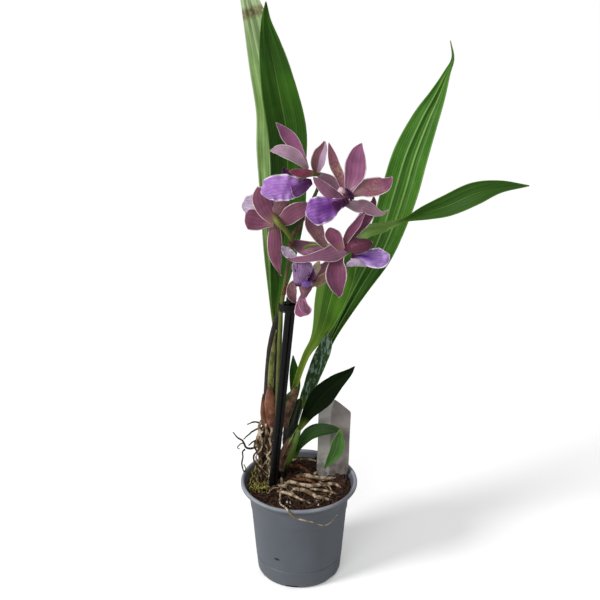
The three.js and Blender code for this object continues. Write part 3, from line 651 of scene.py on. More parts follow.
mossGreen = (140, 142, 62)
finish = {
    "pot": potFinish(), "bark": barkFinish("barkChip", (92, 60, 44), (28, 19, 15), (132, 116, 100)),
    "stick": plasticFinish("stickPlastic", (8, 9, 8), (16, 17, 15), 0.42),
    "wire": plasticFinish("tieWire", (12, 12, 13), (24, 24, 25), 0.5, 700.0, 0.0003),
    "label": labelFinish(), "root": rootFinish("rootTan", (218, 198, 170), (112, 86, 64), mossGreen, 0.2),
    "rootPale": rootFinish("rootPale", (232, 218, 196), (140, 112, 84), mossGreen, 0.08),
    "rootDark": rootFinish("rootDark", (104, 82, 58), (58, 42, 30), (92, 90, 48)),
    "rootRust": rootFinish("rootRust", (158, 104, 66), (92, 54, 34), mossGreen, 0.15),
    "moss": plasticFinish("moss", (206, 200, 104), (84, 90, 32), 0.8, 240.0, 0.0003),
    "grit": plasticFinish("paleGrit", (214, 208, 198), (168, 156, 140), 0.8, 500.0, 0.0004),
    "leafFront": leafFinish("leafFront", (34, 80, 4), (54, 106, 12), (118, 152, 62), stripe=0.12),
    "leafPale": leafFinish(
        "leafPale", (128, 168, 84), (162, 200, 120), (226, 240, 206), ribs=(0.3, 0.5, 0.7), ribPale=0.35,
        far=(0.6, 0.95, (212, 228, 186)), roughness=0.5, scar=0.784),
    "leafPleated": leafFinish(
        "leafPleated", (48, 106, 10), (80, 142, 28), (180, 216, 136), ribs=(0.36, 0.62), ribPale=0.5,
        stripe=0.3),
    # the arching leaf's side colour is a painted highlight along one edge
    "leafArching": leafFinish(
        "leafArching", (54, 108, 4), (82, 138, 14), (170, 208, 96), ribs=(0.5,), ribPale=0.4, stripe=0.3,
        far=(0.62, 0.72, (38, 80, 4)), foot=(0.34, 0.95), side=(0.3, 0.12, (140, 190, 76)),
        band=(0.58, 0.1, (140, 180, 92))),
    "leafDark": leafFinish(
        "leafDark", (5, 15, 2), (13, 30, 5), (44, 66, 26), stripe=0.04, ribPale=0.2, roughness=0.55,
        shine=0.06),
    "leafTorn": leafFinish(
        "leafTorn", (26, 50, 18), (46, 76, 34), (104, 132, 80), stripe=0.25, ribPale=0.3, blotch=0.5,
        roughness=0.4, shine=0.14),
    "leafFolded": leafFinish(
        "leafFolded", (20, 48, 8), (34, 70, 14), (96, 134, 60), ribPale=0.35, stripe=0.15),
    "leafUnder": leafFinish(
        "leafUnder", (52, 104, 26), (84, 138, 52), (190, 216, 160), ribPale=0.3, stripe=0.2),
    "mauve": tepalFinish("tepalMauve", (164, 98, 138), (122, 64, 102), (204, 172, 186), (190, 160, 170)),
    "mauveRose": tepalFinish(
        "tepalRose", (150, 96, 126), (112, 64, 94), (220, 192, 200), (160, 120, 136), streak=0.4),
    "mauveDusk": tepalFinish(
        "tepalDusk", (126, 80, 100), (88, 50, 68), (196, 168, 166), (150, 120, 100),
        blotch=(160, 128, 104), blotchShare=0.4),
    "mauveBright": tepalFinish(
        "tepalBright", (190, 104, 152), (150, 74, 122), (232, 206, 214), (150, 90, 110), streak=0.3),
    "magenta": tepalFinish(
        "tepalMagenta", (132, 68, 102), (92, 40, 68), (214, 178, 190), (140, 100, 100)),
    "magentaTan": tepalFinish(
        "tepalMagentaTan", (158, 84, 120), (124, 58, 88), (222, 188, 202), (172, 136, 106)),
    "blotched": tepalFinish(
        "tepalBlotched", (154, 92, 112), (116, 60, 80), (206, 176, 184), (160, 116, 120),
        blotch=(172, 142, 114), blotchShare=0.7),
    "blotchedEnd": tepalFinish(
        "tepalBlotchedEnd", (138, 72, 104), (98, 44, 72), (226, 204, 206), (176, 150, 136),
        blotch=(156, 122, 98), blotchShare=0.65),
    "mauveBack": tepalFinish(
        "tepalBack", (142, 80, 108), (100, 48, 74), (204, 172, 172), (142, 112, 92), streak=0.4),
    "mauvePale": tepalFinish(
        "tepalPale", (208, 172, 194), (172, 122, 154), (232, 220, 214), (186, 156, 166), streak=0.35),
    "mauveSplit": tepalFinish(
        "tepalSplit", (140, 92, 96), (112, 64, 78), (214, 190, 206), (130, 84, 92), split=(192, 158, 188)),
    "mauveGrey": tepalFinish(
        "tepalGrey", (168, 126, 146), (132, 92, 112), (226, 208, 214), (190, 170, 180), streak=0.45),
    "cream": tepalFinish(
        "tepalCream", (208, 188, 158), (158, 130, 110), (228, 214, 190), (170, 140, 120), streak=0.4),
    "tanRibbed": tepalFinish(
        "tepalTan", (186, 158, 124), (126, 88, 88), (206, 184, 152), (150, 120, 100), streak=0.9,
        veinCount=5.0),
    "lipLilac": lipFinish(
        "lipLilac", (206, 160, 236), (160, 84, 190), 0.55, 0.36, (240, 226, 242), 0.3, 0.17),
    "lipViolet": lipFinish(
        "lipViolet", (176, 120, 206), (92, 30, 122), 0.98, 0.42, (236, 218, 240), 0.35, 0.14),
    "lipCup": lipFinish("lipCup", (206, 168, 232), (104, 54, 146), 0.85, 0.3, (244, 232, 246), 0.3, 0.15),
    "lipDome": lipFinish(
        "lipDome", (146, 106, 190), (92, 48, 120), 0.3, 0.3, streak=0.2, marginWidth=0.02),
    "lipPanel": lipFinish(
        "lipPanel", (164, 130, 172), (96, 56, 112), 0.3, 0.2, streak=0.25, marginWidth=0.04,
        spots=(58, 18, 60)),
    "lipDusk": lipFinish("lipDusk", (136, 88, 150), (84, 28, 92), 0.75, 0.4, streak=0.5),
    "lipPink": lipFinish("lipUnder", (206, 182, 214), (160, 118, 178), 0.5, 0.2, streak=0.3),
    "lipBack": lipFinish(
        "lipBack", (208, 190, 210), (156, 130, 164), 0.5, 0.2, streak=0.5, throatShare=0.0),
    "throat": lipFinish(
        "lipThroat", (96, 32, 96), (54, 10, 52), 0.9, 0.4, (150, 90, 150), streak=0.4, marginWidth=0.05),
    # painted shade: this hood's maroon is the crimson hood colour darkened, for a petal that lies in shadow
    # behind the lip
    "hood": tepalFinish(
        "hoodShadedMaroon", (100, 34, 64), (56, 14, 36), (206, 160, 168), (70, 20, 48), marginWidth=0.07,
        roughness=0.42),
    "crimson": tepalFinish(
        "hoodCrimson", (150, 62, 90), (100, 30, 56), (214, 170, 176), (150, 120, 80), marginWidth=0.09,
        roughness=0.42),
    "column": stalkFinish(
        "columnStalk",
        [
            (0.0, (98, 112, 34)), (0.5, (112, 118, 42)), (0.68, (130, 70, 92)), (0.86, (120, 52, 80)),
            (0.97, (232, 196, 212))],
        (96, 60, 44), 0.2),
    "ovary": stalkFinish(
        "ovaryStalk",
        [(0.0, (92, 92, 30)), (0.2, (112, 122, 36)), (0.7, (118, 122, 52)), (1.0, (120, 70, 80))],
        (96, 70, 44), 0.25),
    "stem": stalkFinish(
        "stemOlive",
        [
            (0.0, (92, 92, 40)), (0.3, (98, 116, 34)), (0.5, (92, 88, 36)), (0.75, (86, 74, 40)),
            (1.0, (84, 92, 30))],
        (70, 46, 34), 0.5),
    "bract": dryFinish("bractBrown", (150, 88, 52), (90, 50, 32), (176, 130, 92)),
    "shootGreen": stalkFinish(
        "shootGreen", [(0.0, (96, 84, 40)), (0.4, (88, 104, 40)), (1.0, (54, 62, 26))], (50, 38, 22),
        0.45),
    "shootBrown": dryFinish("sheathUmber", (50, 38, 26), (24, 18, 14), (92, 78, 46), 14.0, 0.6),
    "shootCream": dryFinish("sheathCream", (166, 170, 92), (96, 106, 44), (226, 218, 160), 10.0, 0.6),
    "sheath": dryFinish("sheathBrown", (168, 112, 84), (104, 60, 46), (214, 178, 148), 14.0),
    "sheathPapery": dryFinish("sheathPapery", (134, 100, 72), (64, 42, 32), (214, 200, 156), 9.0),
    "sheathOlive": dryFinish("sheathOlive", (92, 112, 48), (52, 66, 26), (188, 186, 120), 9.0),
    "sheathDusky": dryFinish("sheathDusky", (112, 72, 60), (46, 30, 24), (150, 120, 84), 10.0),
    "stalkDark": stalkFinish(
        "stalkDark", [(0.0, (12, 14, 8)), (0.5, (18, 28, 10)), (1.0, (30, 50, 16))], (50, 40, 24), 0.2),
    "crown": rootFinish("crownDark", (74, 54, 36), (30, 22, 16), (92, 84, 46)),
    "rootOlive": rootFinish("rootOlive", (158, 138, 98), (78, 60, 40), (132, 128, 60), 0.4),
    # painted shade: the bulb is near black at its foot, where it sinks into shade among the roots, and turns
    # green and paler towards its top
    "bulb": stalkFinish(
        "bulbGreen",
        [(0.2, (18, 20, 10)), (0.42, (84, 124, 34)), (0.7, (112, 158, 64)), (1.0, (150, 178, 110))],
        (50, 56, 22), 0.3),
    "floor": floorFinish(),
}
print("finishes made")


# Geometry nodes: trees are built here and applied straight away

socketKinds = {str: "String", bool: "Bool", int: "Int", float: "Float", tuple: "Vector"}


def growTree(name, **inputs):
    # a tree whose inputs have the kinds of their first values, and a Material
    tree = bpy.data.node_groups.new(name, "GeometryNodeTree")
    tree.interface.new_socket(name="Geometry", in_out="INPUT", socket_type="NodeSocketGeometry")
    for title, value in inputs.items():
        kind = "NodeSocket" + socketKinds[type(value)]
        tree.interface.new_socket(name=title, in_out="INPUT", socket_type=kind).default_value = value
    tree.interface.new_socket(name="Material", in_out="INPUT", socket_type="NodeSocketMaterial")
    tree.interface.new_socket(name="Geometry", in_out="OUTPUT", socket_type="NodeSocketGeometry")
    return tree, node(tree, "NodeGroupInput"), node(tree, "NodeGroupOutput")


def closeTree(tree, start, end, geometry):
    real = node(tree, "GeometryNodeRealizeInstances")
    join(tree, geometry, real.inputs[0])
    paint = node(tree, "GeometryNodeSetMaterial")
    join(tree, real.outputs[0], paint.inputs["Geometry"])
    join(tree, start.outputs["Material"], paint.inputs["Material"])
    join(tree, paint.outputs[0], end.inputs[0])
    return tree


def randomVector(tree, low, high, seedSocket, salt):
    made = node(tree, "FunctionNodeRandomValue", data_type="FLOAT_VECTOR")
    made.inputs[0].default_value = low
    made.inputs[1].default_value = high
    join(tree, mathNode(tree, "ADD", seedSocket, salt), made.inputs["Seed"])
    return made.outputs[0]


def grow(host, tree, name, **values):
    # applies a tree to a host and keeps only what grew
    modifier = host.modifiers.new(name, "NODES")
    modifier.node_group = tree
    for item in tree.interface.items_tree:
        if item.in_out == "INPUT" and item.name in values:
            modifier[item.identifier] = values[item.name]
    evaluated = host.evaluated_get(bpy.context.evaluated_depsgraph_get())
    mesh = bpy.data.meshes.new_from_object(evaluated)
    host.modifiers.remove(modifier)
    mesh.name = name
    obj = bpy.data.objects.new(name, mesh)
    bpy.context.scene.collection.objects.link(obj)
    return obj


def makeScatterTree():
    # lumps of a chosen kind stood or laid on a host wherever its named cover attribute says
    tree, start, end = growTree(
        "scatter", Cover="cover", Density=20000.0, Seed=1, Smallest=(0.001, 0.001, 0.001),
        Largest=(0.002, 0.002, 0.002), Tilt=0.5, Rough=0.001, Lift=0.0, Spiky=False)
    cover = node(tree, "GeometryNodeInputNamedAttribute", data_type="FLOAT")
    join(tree, start.outputs["Cover"], cover.inputs["Name"])
    spread = node(tree, "GeometryNodeDistributePointsOnFaces")
    join(tree, start.outputs["Geometry"], spread.inputs["Mesh"])
    density = times(tree, cover.outputs[0], start.outputs["Density"])
    join(tree, density, spread.inputs["Density"])
    join(tree, start.outputs["Seed"], spread.inputs["Seed"])
    block = node(tree, "GeometryNodeMeshCube")
    for title, count in (("Vertices X", 4), ("Vertices Y", 3), ("Vertices Z", 3)):
        block.inputs[title].default_value = count
    cone = node(tree, "GeometryNodeMeshCone")
    cone.inputs["Vertices"].default_value = 5
    cone.inputs["Radius Top"].default_value = 0.08
    cone.inputs["Radius Bottom"].default_value = 0.5
    cone.inputs["Depth"].default_value = 1.0
    kind = node(tree, "GeometryNodeSwitch", input_type="GEOMETRY")
    join(tree, start.outputs["Spiky"], kind.inputs["Switch"])
    join(tree, block.outputs["Mesh"], kind.inputs["False"])
    join(tree, cone.outputs["Mesh"], kind.inputs["True"])
    place = node(tree, "GeometryNodeInstanceOnPoints")
    join(tree, spread.outputs["Points"], place.inputs["Points"])
    join(tree, kind.outputs[0], place.inputs["Instance"])
    lean = node(tree, "ShaderNodeVectorMath", operation="MULTIPLY")
    join(tree, randomVector(tree, (-1, -1, -1), (1, 1, 1), start.outputs["Seed"], 7), lean.inputs[0])
    tilt = node(tree, "ShaderNodeCombineXYZ")
    join(tree, start.outputs["Tilt"], tilt.inputs[0])
    join(tree, start.outputs["Tilt"], tilt.inputs[1])
    tilt.inputs[2].default_value = 3.1416
    join(tree, tilt.outputs[0], lean.inputs[1])
    turn = node(tree, "FunctionNodeEulerToRotation")
    join(tree, lean.outputs[0], turn.inputs[0])
    join(tree, turn.outputs[0], place.inputs["Rotation"])
    share = node(tree, "FunctionNodeRandomValue", data_type="FLOAT_VECTOR")
    join(tree, start.outputs["Smallest"], share.inputs[0])
    join(tree, start.outputs["Largest"], share.inputs[1])
    join(tree, start.outputs["Seed"], share.inputs["Seed"])
    join(tree, share.outputs[0], place.inputs["Scale"])
    stored = node(tree, "GeometryNodeStoreNamedAttribute", data_type="FLOAT", domain="INSTANCE")
    stored.inputs["Name"].default_value = "chipTint"
    join(tree, place.outputs[0], stored.inputs["Geometry"])
    shade = node(tree, "FunctionNodeRandomValue", data_type="FLOAT")
    join(tree, start.outputs["Seed"], shade.inputs["Seed"])
    join(tree, shade.outputs[1], stored.inputs["Value"])
    real = node(tree, "GeometryNodeRealizeInstances")
    join(tree, stored.outputs[0], real.inputs[0])
    shift = node(tree, "GeometryNodeSetPosition")
    join(tree, real.outputs[0], shift.inputs["Geometry"])
    noise = node(tree, "ShaderNodeTexNoise")
    noise.inputs["Scale"].default_value = 260.0
    noise.inputs["Detail"].default_value = 2.0
    centred = node(tree, "ShaderNodeVectorMath", operation="SUBTRACT")
    join(tree, noise.outputs["Color"], centred.inputs[0])
    centred.inputs[1].default_value = (0.5, 0.5, 0.5)
    sized = node(tree, "ShaderNodeVectorMath", operation="SCALE")
    join(tree, centred.outputs[0], sized.inputs[0])
    join(tree, start.outputs["Rough"], sized.inputs["Scale"])
    raised = node(tree, "ShaderNodeVectorMath", operation="ADD")
    height = node(tree, "ShaderNodeCombineXYZ")
    join(tree, start.outputs["Lift"], height.inputs[2])
    join(tree, sized.outputs[0], raised.inputs[0])
    join(tree, height.outputs[0], raised.inputs[1])
    join(tree, raised.outputs[0], shift.inputs["Offset"])
    return closeTree(tree, start, end, shift.outputs[0])


def makeCoilTree():
    # a wound wire: an oval spiral with a round section
    tree, start, end = growTree(
        "wireCoil", Turns=6.0, Height=0.008, Wire=0.0006, Oval=(0.01, 0.01, 1.0), Centre=(0.0, 0.0, 0.0))
    spiral = node(tree, "GeometryNodeCurveSpiral")
    spiral.inputs["Resolution"].default_value = 40
    spiral.inputs["Start Radius"].default_value = 1.0
    spiral.inputs["End Radius"].default_value = 1.0
    join(tree, start.outputs["Turns"], spiral.inputs["Rotations"])
    join(tree, start.outputs["Height"], spiral.inputs["Height"])
    oval = node(tree, "GeometryNodeTransform")
    join(tree, spiral.outputs[0], oval.inputs["Geometry"])
    join(tree, start.outputs["Centre"], oval.inputs["Translation"])
    join(tree, start.outputs["Oval"], oval.inputs["Scale"])
    section = node(tree, "GeometryNodeCurvePrimitiveCircle")
    section.inputs["Resolution"].default_value = 8
    join(tree, start.outputs["Wire"], section.inputs["Radius"])
    skin = node(tree, "GeometryNodeCurveToMesh")
    skin.inputs["Fill Caps"].default_value = True
    join(tree, oval.outputs[0], skin.inputs["Curve"])
    join(tree, section.outputs[0], skin.inputs["Profile Curve"])
    smooth = node(tree, "GeometryNodeSetShadeSmooth")
    join(tree, skin.outputs[0], smooth.inputs["Geometry"])
    return closeTree(tree, start, end, smooth.outputs[0])


scatterTree = makeScatterTree()
coilTree = makeCoilTree()


# Pot

pot = {
    "profile": [
        (0, 0), (30, 0), (38.2, 0), (39.6, 0.25), (41.2, 1.4), (42.6, 3.2), (43.3, 5.2), (44.5, 18.6),
        (44.75, 20.2), (44.7, 20.8), (44.4, 21.2), (44.5, 21.8), (44.95, 22.4), (49.2, 76.4),
        (49.45, 77.8), (49.95, 78.6), (50.15, 79.6), (51.0, 90.4), (51.5, 93.2), (52.7, 96.4),
        (54.9, 99.5), (57.6, 102.2), (59.3, 103.6), (59.95, 104.6), (60.05, 105.6), (59.85, 106.7),
        (59.2, 107.6), (58.2, 108.0), (57.2, 107.8), (56.6, 107.2), (56.2, 106.0), (55.6, 104.6),
        (53.4, 101.2), (51.2, 98.0), (49.8, 93.4), (49.3, 90.2), (45.0, 40), (43.6, 22), (42.4, 8.6),
        (41.4, 5.2), (39.6, 2.8), (38.2, 2.1), (20, 2), (0, 2)],
    "around": 160,
    "drainage": {"count": 6, "from": -100, "near": 39.6, "far": 46.0, "wide": 13.0, "high": 4.2},
}


def addLathe(shape, profile, around):
    pts = np.array(profile, float)
    fine = [pts[0]]
    for a, b in zip(pts, pts[1:]):
        steps = max(1, int(np.linalg.norm(b - a) / 9))
        fine += [a + (b - a) * (k + 1) / steps for k in range(steps)]
    pts = np.array(fine)
    inner = pts[1:-1]
    angle = np.linspace(0, 2 * np.pi, around, endpoint=False)
    grid = np.stack([inner[:, :1] * np.cos(angle), inner[:, :1] * np.sin(angle),
                     np.broadcast_to(inner[:, 1:], (len(inner), around))], -1)
    run = np.linspace(0, 1, len(inner))
    uv = np.stack(np.broadcast_arrays(angle[None, :] / (2 * np.pi), run[:, None]), -1)
    base = addGrid(shape, grid, uv, wrap=True)
    top = base + (len(inner) - 1) * around
    addFan(shape, [0, 0, pts[0][1]], range(base, base + around), [0.5, 0], flip=True)
    addFan(shape, [0, 0, pts[-1][1]], range(top, top + around), [0.5, 1])


def makePot():
    shape = newShape()
    addLathe(shape, pot["profile"], pot["around"])
    # the second slot, the black stick plastic, goes on the faces that the drainage slots cut: painted shade
    # inside the slots
    obj = makeObject(shape, "pot", [finish["pot"], finish["stick"]], 32)
    cutters = newShape()
    cut = pot["drainage"]
    for k in range(cut["count"]):
        spin = Matrix.Rotation(math.radians(cut["from"] + 360 / cut["count"] * k), 3, "Z")
        corners = [[x, y, z] for x in (cut["near"], cut["far"]) for z in (-cut["high"], cut["high"])
                   for y in (-cut["wide"] / 2, cut["wide"] / 2)]
        ring = np.array(corners) @ np.array(spin).T
        base = cutters["count"]
        cutters["points"].append(ring)
        cutters["count"] += 8
        for quad in ((0, 2, 3, 1), (4, 5, 7, 6), (0, 1, 5, 4), (2, 6, 7, 3), (0, 4, 6, 2), (1, 3, 7, 5)):
            cutters["faces"].append([base + q for q in quad])
            cutters["uvs"].extend([[0, 0]] * 4)
            # cut faces take the second, black slot as painted shade
            cutters["slots"].append(1)
    cutter = makeObject(cutters, "potCutter", [finish["pot"], finish["stick"]])
    modifier = obj.modifiers.new("slots", "BOOLEAN")
    modifier.operation = "DIFFERENCE"
    modifier.solver = "EXACT"
    modifier.object = cutter
    evaluated = obj.evaluated_get(bpy.context.evaluated_depsgraph_get())
    cutMesh = bpy.data.meshes.new_from_object(evaluated)
    obj.modifiers.clear()
    bare = obj.data
    obj.data = cutMesh
    bpy.data.meshes.remove(bare)
    bpy.data.objects.remove(cutter)
    return obj


ridePiece(makePot(), "pot_plastic", "pot")
print("pot made")


# Bark, moss and grit

bed = {
    "profile": [
        (0, 3), (38, 3), (40.8, 8), (43.2, 22), (48.7, 90), (49.2, 93.4), (50.6, 97.8), (53.2, 101.6),
        (51.8, 102.4), (48, 102.2), (43, 101.4), (38, 100.8), (34, 99.9), (30, 100.3), (26, 100.7),
        (22, 101), (18, 101.3), (14, 101.5), (10, 101.6), (6, 101.7), (3, 101.8), (0, 101.8)],
    "top": {"from": 97, "reach": 52.6, "chips": 44.5, "crumbs": 50, "level": 51, "fade": 6},
    "moss": [
        ((-40, -8), 9, 9, 1.0), ((-41, 24), 6, 13, 0.8), ((-44, 8), 5, 8, 0.6), ((-31, 2), 4, 6, 0.5)],
    "grit": [((-10, -40), 2.6), ((8, -40), 2.2), ((20, -40), 2.4), ((-4, -36), 1.6)],
}


def makeBed():
    shape = newShape()
    addLathe(shape, bed["profile"], 96)
    points = np.vstack(shape["points"])
    r = np.hypot(points[:, 0], points[:, 1])
    limits = bed["top"]
    top = (points[:, 2] > limits["from"]) & (r < limits["reach"])
    x, y = points[:, 0] / 40, points[:, 1] / 40
    relief = 1.6 * wander(31, x * 2.2, y * 2.2, 6) + 0.8 * wander(47, x * 6, y * 6, 5)
    points[:, 2] += np.where(top, relief * np.clip((limits["level"] - r) / limits["fade"], 0, 1), 0)
    shape["points"] = [points]
    obj = makeObject(shape, "pottingBed", [finish["bark"]])
    covers = {
        "cover": np.where(top & (r < limits["chips"]), 1.0, 0.0),
        "crumbCover": np.where(top & (r < limits["crumbs"]), 1.0, 0.0),
        "mossCover": np.zeros(len(points)), "gritCover": np.zeros(len(points))}
    for (cx, cy), wide, deep, strong in bed["moss"]:
        reach = ((points[:, 0] - cx) / wide) ** 2 + ((points[:, 1] - cy) / deep) ** 2
        covers["mossCover"] = np.maximum(covers["mossCover"], strong * np.exp(-reach * 1.2))
    for (cx, cy), wide in bed["grit"]:
        reach = ((points[:, 0] - cx) ** 2 + (points[:, 1] - cy) ** 2) / wide**2
        covers["gritCover"] = np.maximum(covers["gritCover"], np.exp(-reach))
    covers["mossCover"] = np.where(top, covers["mossCover"], 0)
    covers["mossCover"][covers["mossCover"] < 0.12] = 0
    for name, values in covers.items():
        layer = obj.data.attributes.new(name, "FLOAT", "POINT")
        layer.data.foreach_set("value", values.astype(np.float32))
    return obj


bedObject = makeBed()
chips = grow(bedObject, scatterTree, "barkChips", Cover="cover", Density=33000.0, Seed=4,
             Smallest=(0.004, 0.0025, 0.0012), Largest=(0.012, 0.0075, 0.0034), Tilt=0.5, Rough=0.004,
             Material=finish["bark"])
crumbs = grow(bedObject, scatterTree, "barkCrumbs", Cover="crumbCover", Density=90000.0, Seed=9,
              Smallest=(0.001, 0.0008, 0.0006), Largest=(0.0035, 0.0022, 0.0014), Tilt=0.9, Rough=0.002,
              Lift=0.001, Material=finish["bark"])
mossy = grow(bedObject, scatterTree, "moss", Cover="mossCover", Density=900000.0, Seed=2, Spiky=True,
             Smallest=(0.0006, 0.0006, 0.0014), Largest=(0.0012, 0.0012, 0.0032), Tilt=0.7, Rough=0.0008,
             Lift=0.0016, Material=finish["moss"])
gritty = grow(bedObject, scatterTree, "paleGrit", Cover="gritCover", Density=180000.0, Seed=5,
              Smallest=(0.001, 0.001, 0.0008), Largest=(0.0032, 0.0022, 0.0016), Tilt=1.2, Rough=0.0016,
              Lift=0.0022, Material=finish["grit"])
for piece in (bedObject, chips, crumbs, mossy, gritty):
    ridePiece(piece, "bark_mix", "potting_bark")
print("bark made", len(chips.data.polygons), len(crumbs.data.polygons), len(mossy.data.polygons))


# Sticks, tie and label

sticks = {
    "supportStickLeft": {
        "path": [[-29.6, -7, 96], [-19.6, -7, 207.5], [-9.6, -7, 319]], "radii": [2.4, 2.5, 2.6],
        "node": "support_stick_left",
    },
    "supportStickRight": {
        "path": [[-25.6, -2.2, 96], [-15.2, -3.1, 206], [-4.9, -4, 316]], "radii": [2.4, 2.5, 2.6],
        "node": "support_stick_right",
    },
}
stickFoot = 30
for title, stick in sticks.items():
    # each stick runs on down into the bark along its own line
    shape = newShape()
    low, top = np.array(stick["path"][0], float), np.array(stick["path"][-1], float)
    foot = low + (top - low) * (stickFoot - low[2]) / (top[2] - low[2])
    stick["path"] = [foot.tolist(), ((foot + top) / 2).tolist(), top.tolist()]
    addTube(shape, stick, 30, 20)
    ridePiece(makeObject(shape, title, [finish["stick"]]), "stick_plastic", stick["node"])

coilHost = makeObject({"points": [np.zeros((1, 3))], "faces": [], "uvs": [], "slots": []}, "coilHost", [])
coil = grow(coilHost, coilTree, "stickTie", Turns=5.5, Height=0.0075, Wire=0.00062,
            Oval=(0.0096, 0.0062, 1.0), Centre=(-0.0098, -0.0053, 0.3045), Material=finish["wire"])
bpy.data.objects.remove(coilHost)
ridePiece(coil, "tie_wire", "stick_tie")

label = {
    "path": [[33.4, 18.4, 65], [35.2, 14.2, 127], [36.4, 10.0, 196]],
    "size": {"width": 33, "height": 131, "shoulder": 13, "stemWidth": 12, "taper": 50},
    "face": [0.0, -1.0, -0.07],
    "thickness": 0.9, "curl": [0.0, 0.12, 0.2], "crowd": 1.0, "uneven": 0.15, "seed": 5,
}


def labelWidths(size, count=64):
    widths = []
    for k in range(count):
        h = size["height"] * k / (count - 1)
        body = size["stemWidth"] + (size["width"] - size["stemWidth"]) * min(1, h / size["taper"])
        left = (size["height"] - h) / size["shoulder"]
        roof = size["width"] * min(1, max(0, left)) ** 0.9
        widths.append(max(0.6, min(body, roof)))
    return widths


shape = newShape()
addSheet(shape, {**label, "widths": labelWidths(label["size"])}, 90, 14, (0, 0))
ridePiece(makeObject(shape, "plantLabel", [finish["label"]], 50), "label_plastic", "plant_label")
print("sticks, tie and label made")


# Roots

roots = {
    "loopA": {
        "path": [[-38, 15, 169], [-40.5, 13, 161], [-38, 11, 151], [-33, 12, 144]],
        "radii": [1.2, 1.6, 1.5, 1],
    },
    "loopB": {
        "path": [[-34, 13, 166], [-33, 10, 157], [-35, 10, 148], [-31, 11, 140]],
        "radii": [1.2, 1.6, 1.5, 1],
    },
    "loopC": {
        "path": [[-29, 13, 165], [-27.5, 10, 158], [-29.5, 10, 149], [-27, 11, 141]],
        "radii": [1.2, 1.5, 1.4, 0.9],
    },
    "loopD": {
        "path": [[-25, 14, 164], [-24, 12, 156], [-25, 12, 147], [-28, 12, 138]],
        "radii": [1, 1.3, 1.2, 0.8],
    },
    "bedA": {
        "path": [
            [-24, -2, 101], [-15, -8, 104.5], [-10, -3, 105.4], [-1, -6, 105.4], [11, -9, 105.2],
            [23, -7, 105], [36, -4, 104.2], [44, -10, 101.5]],
        "radii": [1.6, 2, 2, 2, 2.1, 2, 1.8, 1.2],
    },
    "bedB": {
        "path": [
            [-22, 26, 103], [-20, 18, 105], [-18, 4, 104.4], [-18, -10, 104], [-19, -24, 103.4],
            [-19, -36, 102]],
        "radii": [1.6, 1.5, 1.4, 1.4, 1.3, 1],
    },
    "bedC": {
        "path": [
            [-8, -13, 103], [0, -15, 105], [8, -19, 105.4], [17, -27, 104.6], [26, -31, 103.6],
            [34, -32, 101.5]],
        "radii": [1.5, 2, 2.1, 2, 1.8, 1.2],
    },
    "bedD": {"path": [[16, 15, 104], [27, 23, 105], [38, 29, 102]], "radii": [1.6, 1.6, 1.2]},
    "bedE": {
        "path": [[-2, 11, 103.6], [7, 9, 106.4], [18, 5, 106.4], [29, 6, 105], [38, 10, 102.4]],
        "radii": [1.8, 2.2, 2.2, 1.9, 1.3],
    },
    "bedG": {
        "path": [[12, -12, 103], [20, -16, 105], [30, -18, 104.6], [40, -20, 101.5]],
        "radii": [1, 1.3, 1.3, 0.8],
    },
    "bedF": {
        "path": [[-10, 42, 103], [-2, 46, 102.8], [6, 46, 102.6], [15, 44, 102.6], [24, 40, 102.4]],
        "radii": [1.5, 1.5, 1.5, 1.4, 1],
    },
    "bedH": {
        "path": [[-22, -16, 103], [-14, -21, 104.6], [-3, -28, 104.4], [6, -34, 103], [14, -37, 101]],
        "radii": [1.3, 1.6, 1.5, 1.4, 1],
    },
}
hangingRoots = {
    "hangA": {
        "path": [
            [-36, 14, 160], [-42.5, 14, 151], [-43.5, 14, 141], [-38, 12, 130], [-41, 10, 118],
            [-36, 8, 108], [-38, 8, 99]],
        "radii": [1.4, 1.5, 1.4, 1.3, 1.2, 1.1, 1],
    },
    "hangB": {
        "path": [[-30, 12, 152], [-34, 10, 139], [-29, 9, 127], [-33, 8, 114], [-30, 7, 99]],
        "radii": [1.4, 1.3, 1.3, 1.2, 1.1],
    },
    "hangD": {
        "path": [[-40, 18, 152], [-46, 18, 137], [-41, 16, 124], [-45, 13, 112], [-41, 11, 99]],
        "radii": [1.1, 1.1, 1.1, 1, 0.9],
    },
    "hangF": {
        "path": [[-30, 11, 134], [-25, 9, 123], [-28, 7, 112], [-23, 5, 101]],
        "radii": [0.8, 0.8, 0.8, 0.7],
    },
    "hangG": {
        "path": [[-36, 22, 140], [-33, 24, 126], [-37, 26, 112], [-35, 27, 99]],
        "radii": [2, 1.8, 1.6, 1.4],
    },
    "hangH": {
        "path": [[-28, 24, 140], [-25, 26, 126], [-28, 29, 112], [-24, 31, 99]],
        "radii": [1.8, 1.6, 1.4, 1.2],
    },
    "hangI": {
        "path": [[-44, 10, 118], [-40, 6, 112], [-43, 2, 107], [-40, -6, 104]],
        "radii": [0.7, 0.8, 0.8, 0.6],
    },
    "hangJ": {
        "path": [[-39, 8, 113], [-33, 3, 108], [-36, -3, 106], [-30, -10, 103.5]],
        "radii": [0.8, 0.9, 0.9, 0.6],
    },
}
crownRoots = {
    "crown": {
        "path": [[-34, 18, 97], [-34, 17, 116], [-34, 17, 134], [-32.5, 18, 148], [-30, 20, 162]],
        "radii": [4, 6, 8.4, 9, 7.5], "lumps": 0.22, "lumpRate": 6,
    },
}
rustRoots = {
    "rustA": {
        "path": [[-14, 28, 104], [-11, 27, 106], [-1, 25, 107.4], [8, 17, 107], [13, 13, 104]],
        "radii": [1.6, 1.9, 1.9, 1.9, 1.4],
    },
    "rustB": {
        "path": [[-8, 5, 105], [0, 0, 107.4], [10, -1, 107], [18, -3, 104]],
        "radii": [1.2, 1.5, 1.5, 1.1],
    },
}
